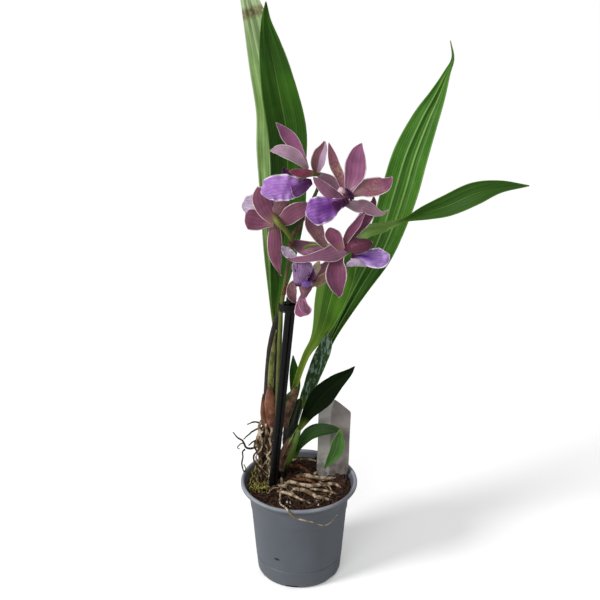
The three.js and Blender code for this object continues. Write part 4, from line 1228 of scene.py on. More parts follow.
darkRoots = {
    "airA": {
        "path": [[-36, 20, 160], [-43, 20, 164], [-48, 18, 164.5], [-53, 16, 163.5]],
        "radii": [1, 0.9, 0.8, 0.5],
    },
    "airB": {
        "path": [[-38, 20, 158], [-46, 20, 154], [-52, 18, 150], [-57, 14, 147]],
        "radii": [1, 0.9, 0.8, 0.5],
    },
    "airC": {
        "path": [
            [-67, 6, 160], [-62, 9, 151], [-58, 11, 147], [-55, 12, 139], [-51, 14, 136], [-45, 16, 136],
            [-38, 18, 138]],
        "radii": [0.5, 0.8, 0.9, 1.0, 1.1, 1.1, 1.2],
    },
    "airD": {
        "path": [
            [-56, 12, 136], [-58, 11, 134], [-58, 10, 128], [-59, 9, 121], [-58, 8, 114], [-56, 8, 111.5],
            [-55, 9, 114], [-57, 10, 119]],
        "radii": [0.9, 0.8, 0.8, 0.8, 0.7, 0.7, 0.6, 0.4],
    },
    "airE": {
        "path": [[-57, 11, 144], [-60, 10, 144], [-63, 8, 141], [-61, 8, 139]],
        "radii": [0.7, 0.6, 0.5, 0.4],
    },
    "airF": {"path": [[-52, 13, 140], [-48, 15, 143], [-40, 18, 146]], "radii": [0.6, 0.8, 0.9]},
}


def buildRoots(group, name, material, salt, stray=0.5):
    shape = newShape()
    for k, root in enumerate(group.values()):
        spec = {"lumps": 0.16, "lumpRate": 4, "stray": stray, "seed": salt + 5 * k, **root}
        addTube(shape, spec, 34, 10)
    return makeObject(shape, name, [material])


def fineRoots(count, seed, reach=40, wall=38, turnBack=1.3, stride=6.5, bedTop=102.6, sunk=3.0):
    # thin strands that cross the bed at random, turned back near the wall, with both ends sunk
    rng = np.random.default_rng(seed)
    made = {}
    for k in range(count):
        angle, out = rng.uniform(0, 6.283), reach * math.sqrt(rng.uniform(0.03, 1))
        x, y = out * math.cos(angle), out * math.sin(angle)
        heading, points = rng.uniform(0, 6.283), []
        for step in range(5):
            far = math.hypot(x, y)
            points.append([x, y, bedTop + rng.uniform(0, 2.0) - (sunk if step in (0, 4) else 0)])
            heading += rng.uniform(-0.8, 0.8) if far < wall else turnBack
            x += stride * math.cos(heading)
            y += stride * math.sin(heading)
        wide = rng.uniform(0.45, 0.95)
        made["fine%d" % k] = {"path": points, "radii": [wide, wide, wide * 0.9, wide * 0.8, wide * 0.5]}
    return made


def strands(count, seed, left=-46, right=-23, front=2, bottom=98):
    # thin roots that wander down the old stem into the bark
    rng = np.random.default_rng(seed)
    made = {}
    for k in range(count):
        x, y, z = rng.uniform(-40, -27), rng.uniform(8, 12), rng.uniform(138, 160)
        points = []
        while z > bottom + 1:
            points.append([x, y, z])
            x = min(right, max(left, x + rng.uniform(-6, 6)))
            y = max(front, y + rng.uniform(-2.4, 0.8))
            z -= rng.uniform(4, 9)
        points.append([x, y, bottom])
        wide = rng.uniform(0.5, 1.1)
        made["strand%d" % k] = {"path": points, "radii": [wide, wide, wide * 0.8, wide * 0.5]}
    return made


ridePiece(buildRoots(roots, "paleRoots", finish["root"], 3), "root", "orchid_roots")
ridePiece(buildRoots(strands(7, 3), "paleStrands", finish["root"], 301), "root", "orchid_roots")
ridePiece(buildRoots(strands(9, 14), "darkStrands", finish["rootDark"], 351), "root", "orchid_roots")
ridePiece(buildRoots(hangingRoots, "hangingRoots", finish["rootOlive"], 33), "root", "orchid_roots")
ridePiece(buildRoots(crownRoots, "rootCrown", finish["crown"], 63), "root", "orchid_roots")
ridePiece(buildRoots(fineRoots(15, 8), "fineRoots", finish["root"], 91), "root", "orchid_roots")
ridePiece(buildRoots(fineRoots(20, 21), "fineDarkRoots", finish["rootDark"], 151), "root", "orchid_roots")
ridePiece(buildRoots(rustRoots, "rustRoots", finish["rootRust"], 83), "root", "orchid_roots")
ridePiece(buildRoots(darkRoots, "airRoots", finish["rootDark"], 53, 0.3), "root", "orchid_roots")
rimRoot = {
    "rimRoot": {
        "path": [
            [-20, -31, 103], [-18.5, -42, 104.4], [-13, -56, 109.4], [-9, -62.2, 106.5], [-3, -62.4, 102],
            [7, -61.6, 98], [14, -60.6, 95.6], [23, -57, 89.5], [31, -53.6, 90], [39, -49, 97]],
        "radii": [0.9, 1, 1, 0.9, 0.8, 0.7, 0.6, 0.5, 0.5, 0.4],
    },
}
ridePiece(buildRoots(rimRoot, "rimRoot", finish["rootPale"], 120, 0.25), "root", "rim_root")
print("roots made")


# Shoots, sheaths and flower stem

def wrapSheet(axis, radii, fromT, toT, reach, facing, tipStart=0.62, grow=0.5, seed=1, lift=0.0):
    # a sheath that hugs a stalk between two shares of its run and ends in a point
    knots = 7
    t = np.linspace(fromT, toT, knots)
    middle = spline(axis, t)
    radius = spline(radii, t)[:, 0] + grow
    towards = unit(np.array(facing, float))
    share = np.linspace(0, 1, knots)
    radius = radius + lift * share**2
    taper = np.clip((1 - share) / (1 - tipStart), 0, 1) ** 0.8
    wide = 2 * radius * reach * np.where(share < tipStart, 1, taper)
    return {"path": (middle + towards * radius[:, None]).tolist(), "widths": np.maximum(wide, 0.8).tolist(),
            "face": towards.tolist(), "curl": (-np.maximum(wide / (2 * radius), 0.05)).tolist(),
            "thickness": 0.5, "crowd": 1.0, "uneven": 0.25, "seed": seed}


def sheetObject(specs, name, material, along=40, across=14):
    shape = newShape()
    for spec in specs:
        addSheet(shape, spec, along, across, (0, 0))
    return makeObject(shape, name, [material])


leftShoot = {
    "path": [
        [-28, 23, 150], [-30, 23, 172], [-28, 22.5, 211], [-26, 22, 246], [-21.5, 21, 275],
        [-20, 20.5, 290]],
    "radii": [5, 6.6, 6.2, 5.8, 4.4, 1.6], "flutes": 0.03, "fluteCount": 9, "lumps": 0.04, "seed": 4,
}
rightShoot = {
    "path": [
        [-20, 13, 96], [-17, 11, 112], [-14.5, 9.5, 126], [-9.5, 9.5, 140], [-5, 10.5, 151],
        [-1, 11.5, 161], [1.5, 12, 166.5]],
    "radii": [4, 5.6, 6.8, 6.8, 5.6, 3.0, 0.7], "flutes": 0.05, "fluteCount": 11, "lumps": 0.05,
    "seed": 9,
}
darkStalk = {
    "path": [[-12, 15, 140], [-9, 14, 160], [-5, 13, 176], [1, 12, 194]], "radii": [5, 6.5, 6, 2.5],
    "flutes": 0.08, "fluteCount": 7, "lumps": 0.08, "seed": 12,
}
shape = newShape()
addTube(shape, leftShoot, 60, 24)
ridePiece(makeObject(shape, "leftShootCore", [finish["shootGreen"]]), "shoot", "left_shoot")
leftWraps = [
    wrapSheet(leftShoot["path"], leftShoot["radii"], 0.02, 0.99, 1.1, [-0.95, -0.3, 0], 0.85, 0.6, 21),
    wrapSheet(leftShoot["path"], leftShoot["radii"], 0.0, 0.9, 1.2, [0.97, -0.2, 0], 0.75, 0.9, 22),
    wrapSheet(leftShoot["path"], leftShoot["radii"], 0.55, 0.97, 2.2, [-0.2, -0.97, 0], 0.9, 0.5, 23),
]
ridePiece(sheetObject(leftWraps, "leftShootWraps", finish["shootBrown"]), "shoot", "left_shoot")
creamWrap = wrapSheet(leftShoot["path"], leftShoot["radii"], 0.3, 0.78, 0.42, [-0.1, -0.99, 0], 0.4, 0.9, 24)
ridePiece(sheetObject([creamWrap], "leftShootStreak", finish["shootCream"]), "shoot", "left_shoot")

shape = newShape()
addTube(shape, rightShoot, 40, 26)
ridePiece(makeObject(shape, "rightShootBulb", [finish["bulb"]]), "shoot", "right_shoot")
rightWraps = [
    wrapSheet(rightShoot["path"], rightShoot["radii"], 0.2, 0.97, 1.0, [-0.8, -0.6, 0], 0.6, 0.5, 31),
]
ridePiece(sheetObject(rightWraps, "rightShootWraps", finish["sheathDusky"]), "shoot", "right_shoot")
shape = newShape()
addTube(shape, darkStalk, 40, 22)
ridePiece(makeObject(shape, "rightShootStalk", [finish["stalkDark"]]), "shoot", "right_shoot")

sheaths = {
    "leftSheath": {
        "node": "left_sheath", "finish": "sheath",
        "blades": [
            {
                "path": [
                    [-27, 12, 157], [-28, 11.2, 172], [-28.5, 11.4, 184], [-29.5, 12.4, 198],
                    [-30.5, 13.5, 211]],
                "widths": [11, 17, 17, 10, 1.5], "curl": [-1.3, -1.15, -0.9, -0.5]},
            {
                "path": [[-34, 13.6, 160], [-36.5, 13.6, 174], [-37, 14, 188], [-36.5, 15, 200]],
                "widths": [5, 7, 4, 0.8], "curl": [-1.1, -1.1, -0.8, -0.3]},
            {
                "path": [[-23, 12.4, 158], [-20.6, 12.6, 170], [-20.4, 13, 184], [-21.6, 13.8, 198]],
                "widths": [5, 7, 5, 1], "curl": [-1.1, -1.1, -0.8, -0.3]}],
    },
    "rightSheath": {
        "node": "right_sheath", "finish": "sheathPapery",
        "blades": [
            {
                "path": [[-14, 4, 163], [-12.5, 4, 178], [-8.5, 5.4, 192], [-5, 7, 204], [-1.4, 9, 214]],
                "widths": [4, 9, 10, 7, 1], "curl": [-1.0, -0.9, -0.7, -0.3]}],
    },
    "rightSheathGreen": {
        "node": "right_sheath", "finish": "sheathOlive",
        "blades": [
            {
                "path": [[-16.5, 6, 166], [-14.5, 6, 182], [-10.8, 7, 197], [-5.4, 9, 209]],
                "widths": [5, 9, 10, 1.5], "curl": [-1.0, -0.9, -0.7, -0.3]}],
    },
}
for title, sheath in sheaths.items():
    specs = [{"face": [0, -1, 0], "thickness": 0.45, "uneven": 0.5, "seed": 40 + k, **blade}
             for k, blade in enumerate(sheath["blades"])]
    ridePiece(sheetObject(specs, title, finish[sheath["finish"]], 30, 10), "dry_sheath", sheath["node"])

flowerStem = {
    "path": [
        [-22.5, 10, 172], [-21, 7, 215], [-19.5, 3, 255], [-18, -3, 290], [-17.2, -6.6, 308],
        [-13.6, -6.2, 332], [-9, -6, 360], [-7, -6, 379], [-1, -8, 393], [7, -8, 407], [13, -8, 421],
        [18, -8, 434]],
    "radii": [2.2, 2.4, 2.3, 2.2, 2.1, 2.0, 2.1, 2.5, 2.0, 1.9, 1.8, 1.6], "lumps": 0.06, "lumpRate": 8,
    "seed": 6,
}
shape = newShape()
addTube(shape, flowerStem, 120, 16)
ridePiece(makeObject(shape, "flowerStem", [finish["stem"]]), "stem", "flower_stem")
bracts = [wrapSheet(flowerStem["path"], flowerStem["radii"], a, b, reach, side, 0.35, 0.3, seed, lift)
          for a, b, reach, side, seed, lift in (
              (0.42, 0.465, 1.5, [0.6, -0.8, 0], 51, 0.6), (0.61, 0.64, 1.5, [-0.7, -0.7, 0], 52, 1.2),
              (0.70, 0.73, 1.3, [0.4, -0.9, 0], 53, 1.0), (0.84, 0.87, 1.3, [-0.4, -0.9, 0], 54, 0.8))]
ridePiece(sheetObject(bracts, "stemBracts", finish["bract"], 16, 8), "stem", "flower_stem")
print("shoots and stem made")


# Leaves

towardsViewer = [0, -0.9, 0.43]
leaves = {
    "leafTallBack": {
        "node": "leaf_tall_back", "slot": "leaf_pale", "finish": ("leafPale", "leafPale"),
        "path": [
            [-24, 32, 262], [-23, 38, 295], [-22, 46, 346], [-20, 54, 406], [-19, 58, 446],
            [-19, 60, 486], [-29, 62, 535], [-42, 62, 580], [-51, 62, 612], [-58, 62, 636]],
        "widths": [5, 14, 26, 37, 44, 44, 38, 22, 11, 1], "face": [-0.15, -0.95, 0.2],
        "curl": [1.2, 0.5, 0.35, 0.2, 0.1], "fold": 0.06,
        "ridges": [
            (-0.62, 0.8, 0.1), (-0.3, 0.7, 0.1), (0.0, -1.2, 0.1), (0.3, 0.7, 0.1), (0.62, 0.8, 0.1)],
        "uneven": 1.2, "seed": 61, "keel": 0.8,
    },
    "leafTallFront": {
        "node": "leaf_tall_front", "slot": "leaf_green", "finish": ("leafFront", "leafFront"),
        "path": [
            [-23, 29, 262], [-23, 30, 295], [-18, 33, 331], [-12, 36, 388], [-11, 37, 439],
            [-12, 37, 475], [-19, 35, 515], [-26, 33, 554], [-30, 31, 581], [-30, 30, 600]],
        "widths": [4, 11, 24, 35, 36, 38, 34, 23, 10, 1], "face": [0.1, -0.97, 0.2],
        "curl": [1.3, 0.7, 0.45, 0.3, 0.2], "fold": 0.16,
        "ridges": [(-0.5, 0.6, 0.12), (0.5, 0.6, 0.12), (0.0, -0.7, 0.07)], "uneven": 1.1, "seed": 62,
        "keel": 0.8,
    },
    "leafArching": {
        "node": "leaf_arching", "slot": "leaf_green", "finish": ("leafArching", "leafArching"),
        "path": [
            [-9, 19, 182], [-3, 18, 210], [7, 17, 242], [17, 18, 260], [25, 18, 280], [31, 16, 305],
            [38, 12, 334], [47, 4, 362], [60, -6, 386], [80, -14, 396], [99, -18, 405], [118, -20, 413],
            [139, -21, 421], [163, -22, 433], [186, -22, 440], [213, -22, 441]],
        "widths": [5, 7, 8, 12, 22, 31, 35, 29, 16, 10, 5, 14, 21, 22, 12, 1], "face": [-0.1, -0.9, 0.43],
        "curl": [1.3, 0.8, 0.5, 0.6, 0.5, 0.3], "fold": 0.16,
        "ridges": [(0.0, -0.6, 0.08), (-0.5, 0.4, 0.12), (0.5, 0.4, 0.12)], "uneven": 0.8, "seed": 63,
        "keel": 0.8, "crowd": 1.0,
    },
    "leafPleated": {
        "node": "leaf_pleated", "slot": "leaf_green", "finish": ("leafPleated", "leafPleated"),
        "path": [
            [-1, 27, 164], [6, 24, 196], [15, 24, 218], [25, 24, 240], [35, 25, 263], [48, 28, 290],
            [62, 31, 317], [77, 34, 346], [89, 37, 377], [99, 40, 412], [108, 42, 447], [120, 44, 480],
            [131, 46, 505], [139, 46, 527], [144, 46, 542], [141, 46, 559]],
        "widths": [4, 8, 8, 8, 10, 17, 24, 32, 35, 38, 36, 28, 17, 7, 3, 1], "face": [-0.35, -0.85, 0.35],
        "curl": [1.2, 0.8, 0.4, 0.3, 0.2], "fold": 0.05,
        "ridges": [
            (-0.28, 1.5, 0.13), (0.24, 1.6, 0.13), (-0.66, -0.8, 0.16), (0.66, -0.8, 0.16),
            (0.0, -1.3, 0.14)],
        "uneven": 0.9, "seed": 64, "crowd": 1.0,
    },
    "leafShortTorn": {
        "node": "leaf_short_torn", "slot": "leaf_dark", "finish": ("leafTorn", "leafTorn"),
        "path": [[4, 12, 184], [12, 12, 212], [21, 12, 239], [27, 12, 256], [31, 12, 273]],
        "widths": [5, 14, 16, 14, 6], "face": [-0.3, -0.9, 0.3], "curl": [0.9, 0.6, 0.4], "fold": 0.12,
        "ridges": [(-0.4, 0.5, 0.12)], "uneven": 0.6, "seed": 65, "torn": 9.0, "crowd": 1.0,
    },
    "leafSmallBack": {
        "node": "leaf_small_back", "slot": "leaf_dark", "finish": ("leafFront", "leafFront"),
        "path": [[-5, 27, 182], [-4, 27, 203], [-5, 26, 222], [-6, 25, 239]], "widths": [4, 11, 9, 1],
        "face": towardsViewer, "curl": [0.8, 0.5, 0.3], "fold": 0.15, "uneven": 0.5, "seed": 66,
    },
    "leafDark": {
        "node": "leaf_dark", "slot": "leaf_dark", "finish": ("leafDark", "leafDark"),
        "path": [[0, 8, 162], [10, 4, 185], [23, 0, 206], [36, -4, 223], [48, -8, 236], [55, -10, 245]],
        "widths": [4, 14, 24, 18, 9, 1], "face": [0.1, -0.85, 0.5], "curl": [0.8, 0.5, 0.3], "fold": 0.18,
        "ridges": [(0.0, -0.6, 0.08)], "uneven": 0.7, "seed": 67, "keel": 0.5,
    },
    "leafFolded": {
        "node": "leaf_folded", "slot": "leaf_green", "finish": ("leafFolded", "leafFolded"),
        "path": [
            [-4, 12, 126], [-1, 9, 139], [4.2, 8, 149], [11.6, 6, 158.6], [21.9, 3, 164.5],
            [33.9, -1, 167.3], [42.5, -3.4, 167.6]],
        "widths": [4, 6, 10, 14, 14, 9, 2], "face": [0.0, -0.75, 0.65], "curl": [0.8, 0.5, 0.3],
        "fold": 0.15, "ridges": [(0.0, -0.6, 0.1)], "uneven": 0.4, "seed": 68, "crowd": 1.0,
    },
    "leafFoldedTip": {
        "node": "leaf_folded", "slot": "leaf_green", "finish": ("leafUnder", "leafUnder"),
        "path": [
            [42, -3.2, 169], [40.5, -4.4, 162], [38.9, -6, 155.6], [36.4, -7, 145.2], [30.9, -7, 134.3],
            [25.7, -7, 124.5]],
        "widths": [3, 9, 14.5, 15, 9, 0.8], "face": [0.3, -0.93, 0.15], "curl": [0.5, 0.4, 0.3],
        "fold": 0.2, "uneven": 0.4, "seed": 69, "crowd": 1.0,
    },
}
longGrid, shortGrid = (150, 44), (70, 26)
for title, leaf in leaves.items():
    shape = newShape()
    addSheet(shape, {"thickness": 0.9, **leaf}, *(longGrid if len(leaf["path"]) > 6 else shortGrid))
    piece = makeObject(shape, title, [finish[kind] for kind in leaf["finish"]])
    ridePiece(piece, leaf["slot"], leaf["node"])
print("leaves made")


# Flowers

# Offsets from each flower's centre; a blade runs from its base to its tip.
flowers = {
    "flowerTopLeft": {
        "node": "flower_top_left",
        "centre": [8, -20, 455],
        "blades": {
            "sepal_upper": {
                "path": [
                    [0, 2, 2], [-4, 4, 11], [-10, 7, 20], [-15, 8, 27], [-20, 8, 33], [-25, 6, 40],
                    [-29, 5, 45]],
                "widths": [3, 6, 11, 13, 12, 6, 1], "finish": ("mauve", "mauveBack")},
            "petal_left": {
                "path": [
                    [0, -1, 2], [-5, -4, 9], [-11, -8, 17], [-18, -11, 22], [-26, -13, 25],
                    [-31, -14, 25], [-34, -14, 25]],
                "widths": [3, 7, 12, 13, 10, 5, 1], "finish": ("mauvePale", "mauveBack"),
                "curl": [0.6, 0.5, 0.4, 0.2]},
            "petal_right": {
                "path": [[8, 3, -3], [9, 6, 4], [11, 9, 12], [14, 11, 18], [16, 11, 25]],
                "widths": [6, 13, 13, 9, 2], "finish": ("mauveSplit", "mauveBack"),
                "curl": [0.6, 0.3, 0.2], "fold": 0.2},
            "sepal_left": {
                "path": [[-14, 2, -11], [-19, 4, -6], [-21, 5, -2], [-22, 5, 2]], "widths": [7, 8, 6, 1],
                "finish": ("throat", "mauveBack")},
            "sepal_right": {
                "path": [[10, 4, -5], [16, 5, -10], [23, 5, -15], [28, 4, -21]], "widths": [6, 12, 13, 8],
                "finish": ("mauveGrey", "mauveBack")},
            "lip": {
                "path": [
                    [-4, -7, -17], [-11, -11, -13], [-17, -14, -11], [-24, -16, -10], [-33, -17, -11],
                    [-38, -18, -13], [-43, -18, -15]],
                "widths": [12, 22, 25, 26, 25, 19, 9], "finish": ("lipLilac", "lipPink"),
                "curl": [-0.5, -0.5, -0.6, -0.7]},
            "throat": {
                "on": "lip",
                "path": [[4, -4, -9], [-1, -6, -10], [-7, -10, -12], [-12, -13, -13], [-15, -15, -13]],
                "widths": [6, 12, 16, 16, 10], "finish": ("lipDusk", "throat"),
                "curl": [-0.9, -0.7, -0.6], "ruffle": (0.6, 3.0)},
            "hood": {
                "on": "column",
                "path": [[6, -6, 0], [-1, -10, 2], [-8, -13, 3], [-14, -15, 5], [-17, -16, 5]],
                "widths": [6, 9, 9, 5, 2], "finish": ("crimson", "crimson"), "curl": [-1.1, -1.0, -0.8],
                "ruffle": (0.2, 2.0)},
        },
        "column": {
            "path": [[14, 12, -23], [14, 10, -13], [10, 6, -6], [3, 0, -3], [-4, -6, -2], [-11, -9, -2]],
            "radii": [1.6, 1.8, 2.4, 2.7, 2.8, 1.6],
        },
    },
    "flowerTopRight": {
        "node": "flower_top_right",
        "centre": [43, -34, 438],
        "blades": {
            "sepal_upper": {
                "path": [[2, 0, -2], [5, 3, 9], [8, 5, 17], [9, 6, 28], [11, 4, 40], [14, 1, 49]],
                "widths": [5, 14, 20, 20, 13, 1], "finish": ("mauve", "mauveBack"),
                "curl": [0.8, 0.5, 0.4, 0.2]},
            "petal_left": {
                "path": [[-1, 1, 0], [-5, 4, 14], [-10, 5, 25], [-13, 4, 36], [-16, 2, 49]],
                "widths": [4, 9, 10, 8, 1], "finish": ("blotched", "mauveBack")},
            "petal_right": {
                "path": [
                    [2, -1, -2], [13, 1, 3], [20, 1, 5], [28, 0, 7], [35, -2, 10], [39, -4, 14],
                    [42, -4, 18]],
                "widths": [5, 13, 18, 18, 15, 9, 1], "finish": ("blotchedEnd", "mauveBack"),
                "curl": [0.5, 0.4, 0.3, 0.3]},
            "sepal_left": {
                "path": [
                    [3, -1, -9], [-7, -3, -3], [-15, -5, 3], [-22, -4, 9], [-27, -3, 14], [-30, -2, 17]],
                "widths": [6, 10, 12, 10, 6, 1], "finish": ("mauveRose", "mauveBack"),
                "curl": [-0.5, -0.4, -0.3]},
            "sepal_right": {
                "path": [
                    [-3, 0, -8], [10, 1, -13], [17, 1, -13], [24, 2, -17], [30, 2, -20], [35, 1, -20],
                    [39, 0, -16]],
                "widths": [6, 12, 13, 11, 7, 3, 1], "finish": ("mauveGrey", "mauveBack")},
            "lip": {
                "path": [
                    [-2, -8, -5], [-9, -10, -7], [-16, -12, -9], [-25, -14, -11], [-31, -14, -13],
                    [-37, -14, -15]],
                "widths": [7, 15, 25, 28, 26, 14], "finish": ("lipViolet", "lipPink"),
                "curl": [-0.7, -0.6, -0.6, -0.8]},
            "throat": {
                "on": "lip", "path": [[2, -6, -4], [-4, -9, -6], [-9, -12, -7], [-12, -14, -8]],
                "widths": [7, 10, 11, 6], "finish": ("throat", "throat"), "curl": [-1.0, -0.9, -0.8],
                "ruffle": (0.3, 2.0)},
            "hood": {
                "on": "column", "path": [[6, -3, -5], [4, -6, 1], [0, -9, 6], [-3, -11, 9]],
                "widths": [4, 6, 6, 3], "finish": ("throat", "crimson"), "curl": [0.9, 0.8, 0.6],
                "ruffle": (0.2, 2.0)},
        },
        "column": {
            "path": [[-23, 26, -22], [-13, 18, -15], [-3, 8, -7], [2, 0, -3], [-1, -7, 4], [-5, -13, 9]],
            "radii": [1.5, 1.7, 1.9, 2.4, 2.9, 2.7],
        },
    },
    "flowerLeft": {
        "node": "flower_left",
        "centre": [-22, -12, 402],
        "blades": {
            "sepal_upper": {
                "path": [[-1, 0, -2], [-7, 3, 7], [-11, 4, 15], [-13, 4, 23], [-13, 3, 33]],
                "widths": [7, 17, 20, 18, 8], "finish": ("mauveBack", "mauve"),
                "curl": [-0.5, -0.4, -0.3]},
            "sepal_behind": {
                "on": "petal_right", "path": [[0, 1, 0], [3, 4, 10], [6, 6, 16], [8, 6, 24]],
                "widths": [5, 13, 14, 8], "finish": ("mauveDusk", "mauve"), "curl": [-0.5, -0.3]},
            "petal_left": {
                "path": [[-1, -1, -3], [-10, 2, -2], [-18, 2, -1], [-24, 1, 1], [-29, 0, 2]],
                "widths": [6, 14, 20, 21, 13], "finish": ("mauveBack", "mauve"), "tipRound": 0.2,
                "curl": [-0.5, -0.5, -0.6, -0.7]},
            "sepal_right": {
                "path": [[1, -1, -2], [10, -2, 3], [16, -2, 8], [23, -2, 12], [31, -2, 17]],
                "widths": [5, 15, 17, 15, 6], "finish": ("mauveBack", "mauve"),
                "curl": [-0.4, -0.2, -0.1]},
            "sepal_left": {
                "path": [
                    [-1, 1, -1], [-1, 2, -12], [-1, 1, -23], [-1, 0, -34], [1, -2, -43], [3, -4, -50],
                    [5, -5, -55]],
                "widths": [6, 12, 15, 13, 9, 3, 1], "finish": ("mauveBack", "mauve"),
                "curl": [-0.7, -0.4, -0.2]},
            "lip": {
                "path": [[-7, 8, -2], [-15, 16, 1], [-22, 24, 3], [-29, 30, 2], [-33, 34, 0]],
                "widths": [7, 17, 25, 22, 9], "finish": ("lipBack", "lipViolet"), "ruffle": (2.0, 6.0)},
        },
        "column": {
            "path": [[16, 1, -21], [13, -3, -14], [8, -6, -6], [3, -7, 0], [0, -3, 3], [-3, 6, 5]],
            "radii": [2.1, 2.2, 2.4, 2.9, 3.0, 2.0], "finish": "ovary",
        },
    },
    "flowerRight": {
        "node": "flower_right",
        "centre": [41, -30, 390],
        "blades": {
            "petal_left": {
                "path": [[-1, -4, -9], [-7, -6, 3], [-11, -8, 10], [-13, -8, 16]],
                "widths": [7, 14, 15, 8], "finish": ("magentaTan", "mauveBack"), "tipRound": 0.25,
                "curl": [0.7, 0.6, 0.6]},
            "petal_back": {
                "on": "petal_left",
                "path": [[-12, 2, -11], [-20, 4, -3], [-24, 6, 5], [-28, 7, 14], [-31, 7, 24]],
                "widths": [5, 9, 14, 16, 9], "finish": ("mauveDusk", "mauveBack"), "curl": [0.5, 0.3]},
            "sepal_upper": {
                "path": [[1, -2, -4], [6, -5, 9], [12, -8, 19], [16, -10, 27], [20, -11, 33]],
                "widths": [5, 9, 9, 6, 1], "finish": ("magenta", "mauvePale"), "curl": [1.0, 0.9, 0.7]},
            "petal_right": {
                "path": [[3, 1, -4], [13, 4, 10], [20, 5, 19], [25, 4, 29], [28, 3, 37], [28, 2, 43]],
                "widths": [7, 12, 14, 11, 6, 1], "finish": ("magenta", "mauveBack")},
            "sepal_left": {
                "path": [
                    [4, -3, -8], [-6, -7, -9], [-13, -11, -10], [-22, -14, -10], [-33, -16, -12],
                    [-43, -16, -13], [-48, -16, -13], [-52, -16, -11]],
                "widths": [10, 17, 15, 10, 7, 6, 3, 1], "finish": ("mauveRose", "mauveBack"),
                "curl": [-0.5, -0.3, 0.5, 0.8]},
            "sepal_right": {
                "path": [
                    [-1, -2, -8], [-5, -5, -19], [-6, -8, -26], [-6, -10, -34], [-5, -10, -43],
                    [-3, -8, -51], [-3, -8, -56]],
                "widths": [7, 13, 19, 20, 14, 7, 1], "finish": ("magenta", "mauveBack"), "fold": 0.3,
                "curl": [0.3, 0.2]},
            "lip": {
                "path": [
                    [8, -5, -13], [18, -6, -14], [26, -8, -15], [34, -8, -15], [39, -8, -14],
                    [44, -7, -12]],
                "widths": [8, 13, 18, 20, 16, 6], "finish": ("lipCup", "lipPink"),
                "curl": [0.7, 0.5, 0.4, 0.5], "ruffle": (1.3, 4.0)},
            "lobe": {
                "on": "lip",
                "path": [[3, -8, -23], [7, -10, -20], [12, -11, -18], [16, -12, -19], [22, -12, -22]],
                "widths": [3, 7, 8, 6, 2], "finish": ("lipBack", "lipBack"), "curl": [-0.8, -0.7],
                "ruffle": (0.8, 4.0)},
            "hood": {
                "on": "column",
                "path": [[0, -3, -8], [5, -8, -4], [9, -11, -2], [16, -13, 0], [23, -12, 1], [28, -9, 1]],
                "widths": [7, 15, 20, 18, 14, 6], "finish": ("hood", "hood"),
                "curl": [-1.1, -1.2, -1.2, -0.9], "tipRound": 0.2, "ruffle": (0.3, 2.0)},
        },
        "column": {
            "path": [
                [-36, 17, -16], [-31, 12, -11], [-21, 7, -8], [-9, 2, -7], [0, -1, -6], [9, -4, -4],
                [18, -6, -2]],
            "radii": [1.6, 1.7, 1.7, 1.9, 2.4, 2.6, 1.6],
        },
    },
    "flowerBottom": {
        "node": "flower_bottom",
        "centre": [7, -26, 348],
        "blades": {
            "sepal_upper": {
                "path": [[20, 12, 25], [10, 18, 22], [0, 23, 21], [-8, 27, 23], [-15, 29, 26]],
                "widths": [8, 15, 15, 11, 3], "finish": ("mauveRose", "mauveBack"), "curl": [0.4, 0.3]},
            "petal_right": {
                "path": [[3, 3, -8], [11, 9, -2], [18, 13, 4], [25, 14, 14]], "widths": [8, 14, 14, 5],
                "finish": ("mauveDusk", "mauveBack"), "curl": [0.4, 0.3]},
            "petal_left": {
                "path": [[-8, -1, -1], [-13, 0, -8], [-14, 0, -16], [-12, 0, -22], [-10, 1, -26]],
                "widths": [6, 10, 10, 6, 1], "finish": ("mauveDusk", "mauveBack")},
            "sepal_right": {
                "path": [[8, -3, -6], [13, -3, -2], [17, -3, 3], [21, -4, 10]], "widths": [4, 8, 8, 1],
                "finish": ("tanRibbed", "cream"), "curl": [-0.6, -0.4]},
            "cream": {
                "on": "sepal_right", "path": [[8, -7, 6], [9, -9, 12], [10, -10, 17], [12, -10, 23]],
                "widths": [2, 6, 8, 2], "finish": ("cream", "cream"), "curl": [-0.6, -0.5]},
            # painted shade: a sheet in the dark throat colour stands for the shaded opening of the flower
            # above the dome
            "dark": {
                "on": "lip", "path": [[2, -13, 2], [4, -13, 7], [5, -14, 13], [5, -15, 20]],
                "widths": [3, 7, 7, 2], "finish": ("throat", "throat"), "curl": [1.1, 1.0]},
            "lip": {
                "path": [[-8, -13, -2], [-7, -14, 4], [-5, -16, 13], [-4, -18, 20], [-4, -18, 26]],
                "widths": [5, 12, 18, 20, 16], "finish": ("lipPanel", "lipPink"),
                "curl": [-0.6, -0.4, -0.3], "ruffle": (0.6, 3.0), "tipRound": 0.12},
            "dome": {
                "on": "lip", "path": [[-6, -15, 1], [-3, -18, 3], [1, -18, 3], [5, -15, 2]],
                "widths": [4, 8, 9, 5], "finish": ("lipDome", "throat"), "curl": [-1.2, -1.3, -1.2],
                "ruffle": (0.0, 1.0), "tipRound": 0.0},
            "lower": {
                "on": "lip", "path": [[0, -7, 0], [-1, -8, -6], [-2, -9, -12], [-3, -10, -17]],
                "widths": [15, 14, 8, 4], "finish": ("mauveDusk", "mauveBack"), "curl": [-0.8, -0.5],
                "tipRound": 0.0, "ruffle": (0.4, 2.0)},
            "sepal_left": {
                "path": [[-3, -8, -13], [-4, -10, -18], [-4, -10, -24], [-3, -11, -29], [-2, -11, -34]],
                "widths": [5, 9, 14, 17, 8], "finish": ("mauveBright", "mauveBack"),
                "curl": [0.6, 0.4, 0.3]},
            "fold": {
                "on": "sepal_left",
                "path": [[-7, -10, -15], [-5, -12, -20], [-2, -14, -25], [3, -13, -31]],
                "widths": [2, 6, 7, 1], "finish": ("mauveRose", "mauveBack"), "curl": [-0.5, -0.5]},
            "pale": {
